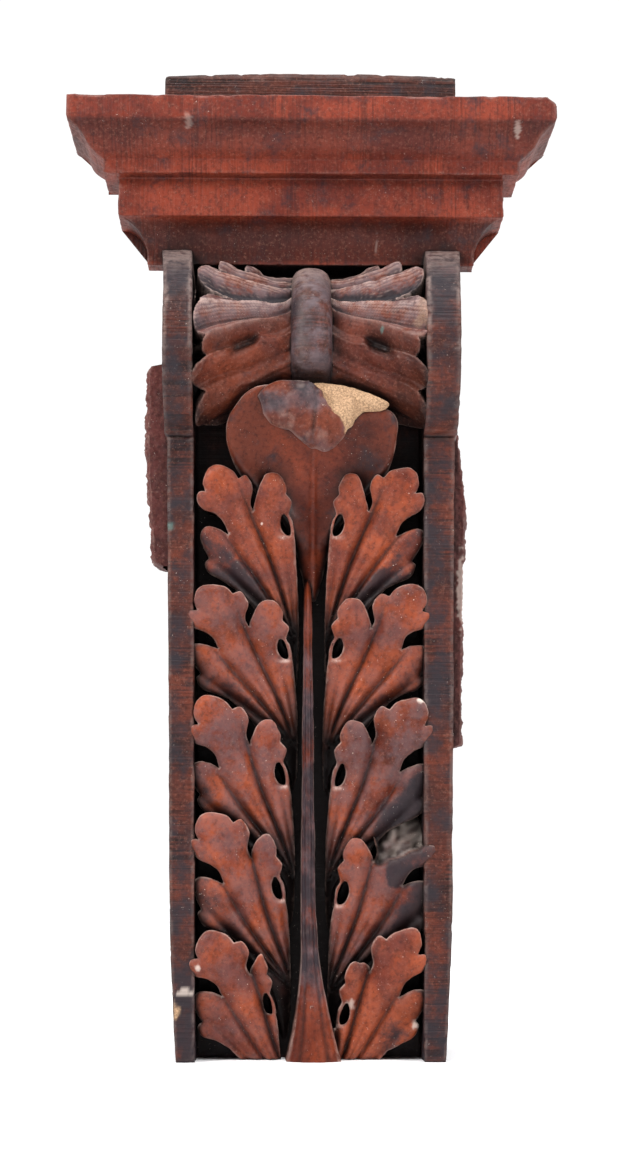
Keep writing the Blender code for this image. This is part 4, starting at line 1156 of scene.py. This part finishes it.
def clay(name, low, high, comb=None, tooth=0.5, film=0.36, flecks=0.5, dust=0.7, shine=0.42):
    """Weathered terracotta whose colour runs from low to high, with painted shade from the deep and hollow
    marks and pale edges that are partly dusty, partly painted highlight.

    comb is the axis along which the tooling lines repeat, tooth how strong they are."""
    m = bpy.data.materials.new(name)
    n = Nodes(m)
    shader = n.tree.nodes["Principled BSDF"]
    broad = n.noise(55, 5, 0.6)
    fine = n.noise(4.0, 6, 0.68)
    colour = n.mix(n.between(broad, 0.36, 0.64), low, high)
    colour = n.mix(n.between(fine, 0.44, 0.72, 0.0, 0.62), colour, dim(low, 0.30))
    if comb:
        stretch = {"x": (1, 0.03, 0.03), "z": (0.03, 0.03, 1)}[comb]
        lines = n.noise(2.1, 1.5, 0.5, stretch)
        patch = n.between(n.noise(40, 3, 0.5), 0.38, 0.66, 0.2 * tooth, tooth)
        faced = n.between(n.across(1), -0.03, 0.0, 1.0, 0.2)
        lines = n.plus(n.times(n.math("SUBTRACT", lines, 0.5), faced), 0.5)
        colour = n.mix(n.times(n.between(lines, 0.56, 0.36), patch), colour, dim(low, 0.30))
    # painted shade: the deep mark darkens creases, recesses and undersides; on some pieces it is also a plain
    # darker tone
    colour = n.mix(n.attribute("deep"), colour, dim(low, 0.10))
    colour = n.mix(n.between(n.noise(2.8, 6, 0.78), 0.50, 0.70, 0.0, film), colour, FILM)
    smear = n.noise(19, 5, 0.7)
    grey = n.times(n.attribute("grey"), n.between(smear, 0.36, 0.60))
    colour = n.mix(n.times(grey, 0.75), colour, GREY)
    sooty = n.times(n.attribute("soot"), 0.42)
    soot = n.between(n.plus(sooty, n.noise(24, 6, 0.68)), 0.58, 0.86)
    colour = n.mix(n.times(soot, 0.9), colour, SOOT)
    # painted shade: enclosed places found by the rays darken towards near black
    colour = n.mix(n.between(n.attribute("hollow"), 0.26, 0.74), colour, OCCLUSION_SHADE)
    # pale outer edges and crests: partly dust, partly painted highlight, broken up by noise
    worn = n.between(n.noise(6, 4, 0.7), 0.33, 0.60, 0.15, 1.0)
    rim = n.times(n.times(n.attribute("edge"), worn), dust)
    colour = n.mix(rim, colour, PALE_DUST_AND_HIGHLIGHT)
    speck = n.between(n.noise(1.9, 3, 0.7), 0.67, 0.72)
    fleck = n.times(speck, n.between(n.noise(32, 3, 0.6), 0.44, 0.62))
    colour = n.mix(n.times(fleck, flecks), colour, LIME)
    colour = n.mix(n.attribute("lime"), colour, LIME)
    colour = n.mix(n.attribute("copper"), colour, COPPER)
    grain = n.noise(1.6, 4, 0.75)
    sand = n.mix(n.between(grain, 0.38, 0.66), dim(BUFF, 0.45), BUFF)
    colour = n.mix(n.attribute("pale"), colour, sand)
    n.link(colour, shader.inputs["Base Color"])
    gloss = n.between(fine, 0.3, 0.7, shine, shine + 0.22)
    gloss = n.plus(gloss, n.times(n.attribute("pale"), 0.3))
    n.link(gloss, shader.inputs["Roughness"])
    shader.inputs["Specular IOR Level"].default_value = 0.18
    height = n.plus(n.times(fine, 0.45), n.times(n.noise(1.1, 3, 0.6), 0.16))
    height = n.plus(height, n.times(n.times(grain, n.attribute("pale")), 1.5))
    if comb:
        height = n.plus(height, n.times(lines, 1.8 * tooth))
    bump = n.tree.nodes.new("ShaderNodeBump")
    bump.inputs["Strength"].default_value = 0.6
    bump.inputs["Distance"].default_value = 0.0011
    n.link(height, bump.inputs["Height"])
    n.link(bump.outputs["Normal"], shader.inputs["Normal"])
    return m


def set_material(ob, m):
    ob.data.materials.clear()
    ob.data.materials.append(m)


# Setting

def studio():
    """Pale floor, a world that is white behind the stone and dim in front of it, and soft lamps."""
    bpy.ops.mesh.primitive_plane_add(size=50, location=(0, 0, 0))
    ground = bpy.context.object
    ground.name = "studio_floor"
    m = bpy.data.materials.new("floor")
    m.use_nodes = True
    shader = m.node_tree.nodes["Principled BSDF"]
    shader.inputs["Base Color"].default_value = (0.94, 0.94, 0.95, 1)
    shader.inputs["Roughness"].default_value = 0.7
    set_material(ground, m)
    world = bpy.data.worlds.new("studio")
    bpy.context.scene.world = world
    n = Nodes(world, "Generated")
    fades = [n.between(n.across(axis), low, high, dark, light) for axis, low, high, dark, light in GLOW]
    sky = n.tree.nodes["Background"]
    n.link(n.math("MAXIMUM", *fades), sky.inputs["Strength"])
    sky.inputs["Color"].default_value = (1, 1, 1, 1)
    for name, where, size, power in LAMPS:
        data = bpy.data.lights.new(name, "AREA")
        data.size = size
        data.energy = power
        lamp = bpy.data.objects.new(name, data)
        lamp.location = where
        lamp.rotation_euler = (Vector(LAMP_AIM) - Vector(where)).to_track_quat("-Z", "Y").to_euler()
        bpy.context.scene.collection.objects.link(lamp)


def camera():
    """Low camera, a little left of the middle, tilted up so that the whole stone is in the frame."""
    data = bpy.data.cameras.new("camera")
    data.sensor_width = 36.0
    data.lens = LENS
    ob = bpy.data.objects.new("camera", data)
    ob.location = CAMERA_AT
    ob.rotation_euler = (math.radians(90 + CAMERA_TILT), 0, math.radians(CAMERA_TURN))
    bpy.context.scene.collection.objects.link(ob)
    bpy.context.scene.camera = ob


def build():
    cap_clay = clay("cap_clay", (0.092, 0.013, 0.007), (0.175, 0.028, 0.013), comb="x", dust=0.6, shine=0.36)
    body_clay = clay("body_clay", (0.032, 0.008, 0.006), (0.095, 0.019, 0.009), comb="z", tooth=1.0, dust=0.6)
    leaf_clay = clay("leaf_clay", (0.105, 0.017, 0.008), (0.275, 0.052, 0.016), flecks=0.85, dust=0.85,
                     shine=0.36)
    blade_clay = clay("blade_clay", (0.092, 0.013, 0.005), (0.215, 0.036, 0.011), film=0.12, dust=0.8,
                      shine=0.3)
    roll_clay = clay("roll_clay", (0.072, 0.013, 0.007), (0.150, 0.029, 0.011), dust=0.7)
    ring_clay = clay("ring_clay", (0.060, 0.020, 0.016), (0.130, 0.034, 0.022), comb="z", tooth=0.7, dust=0.7)
    lug_clay = clay("lug_clay", (0.048, 0.013, 0.012), (0.092, 0.022, 0.019), dust=0.7, shine=0.5)
    # each piece with its clay, how chipped its edges are and how grainy its faces
    rows = (
        (cap(), cap_clay, 0.9, 0.06),
        (cap_back(), cap_clay, 0, 0),
        (block(), body_clay, 1.0, 0.10),
        (body(), body_clay, 0.8, 0.08),
        (bolster_side(-1), roll_clay, 0.6, 0.2),
        (bolster_side(1), roll_clay, 0.6, 0.2),
        (ring(), ring_clay, 0.2, 0.1),
        (stem(), blade_clay, 0.4, 0.12),
        (blade(), blade_clay, 0.5, 0.12),
        (tip(), roll_clay, 0.5, 0.25),
        (lug(-1), lug_clay, 0.8, 0.4),
        (lug(1), lug_clay, 0.8, 0.4),
    )
    pieces = []
    for ob, m, chips, grain in rows:
        set_material(ob, m)
        if grain:
            wear(ob, chips, grain)
        pieces.append(ob)
    for k in range(5):
        for side in (-1, 1):
            ob = leaf(side, k)
            set_material(ob, leaf_clay)
            wear(ob, 0.5, 0.15)
            pieces.append(ob)
    paint(pieces)


build()
studio()
camera()
bpy.context.scene.view_settings.view_transform = "Standard"
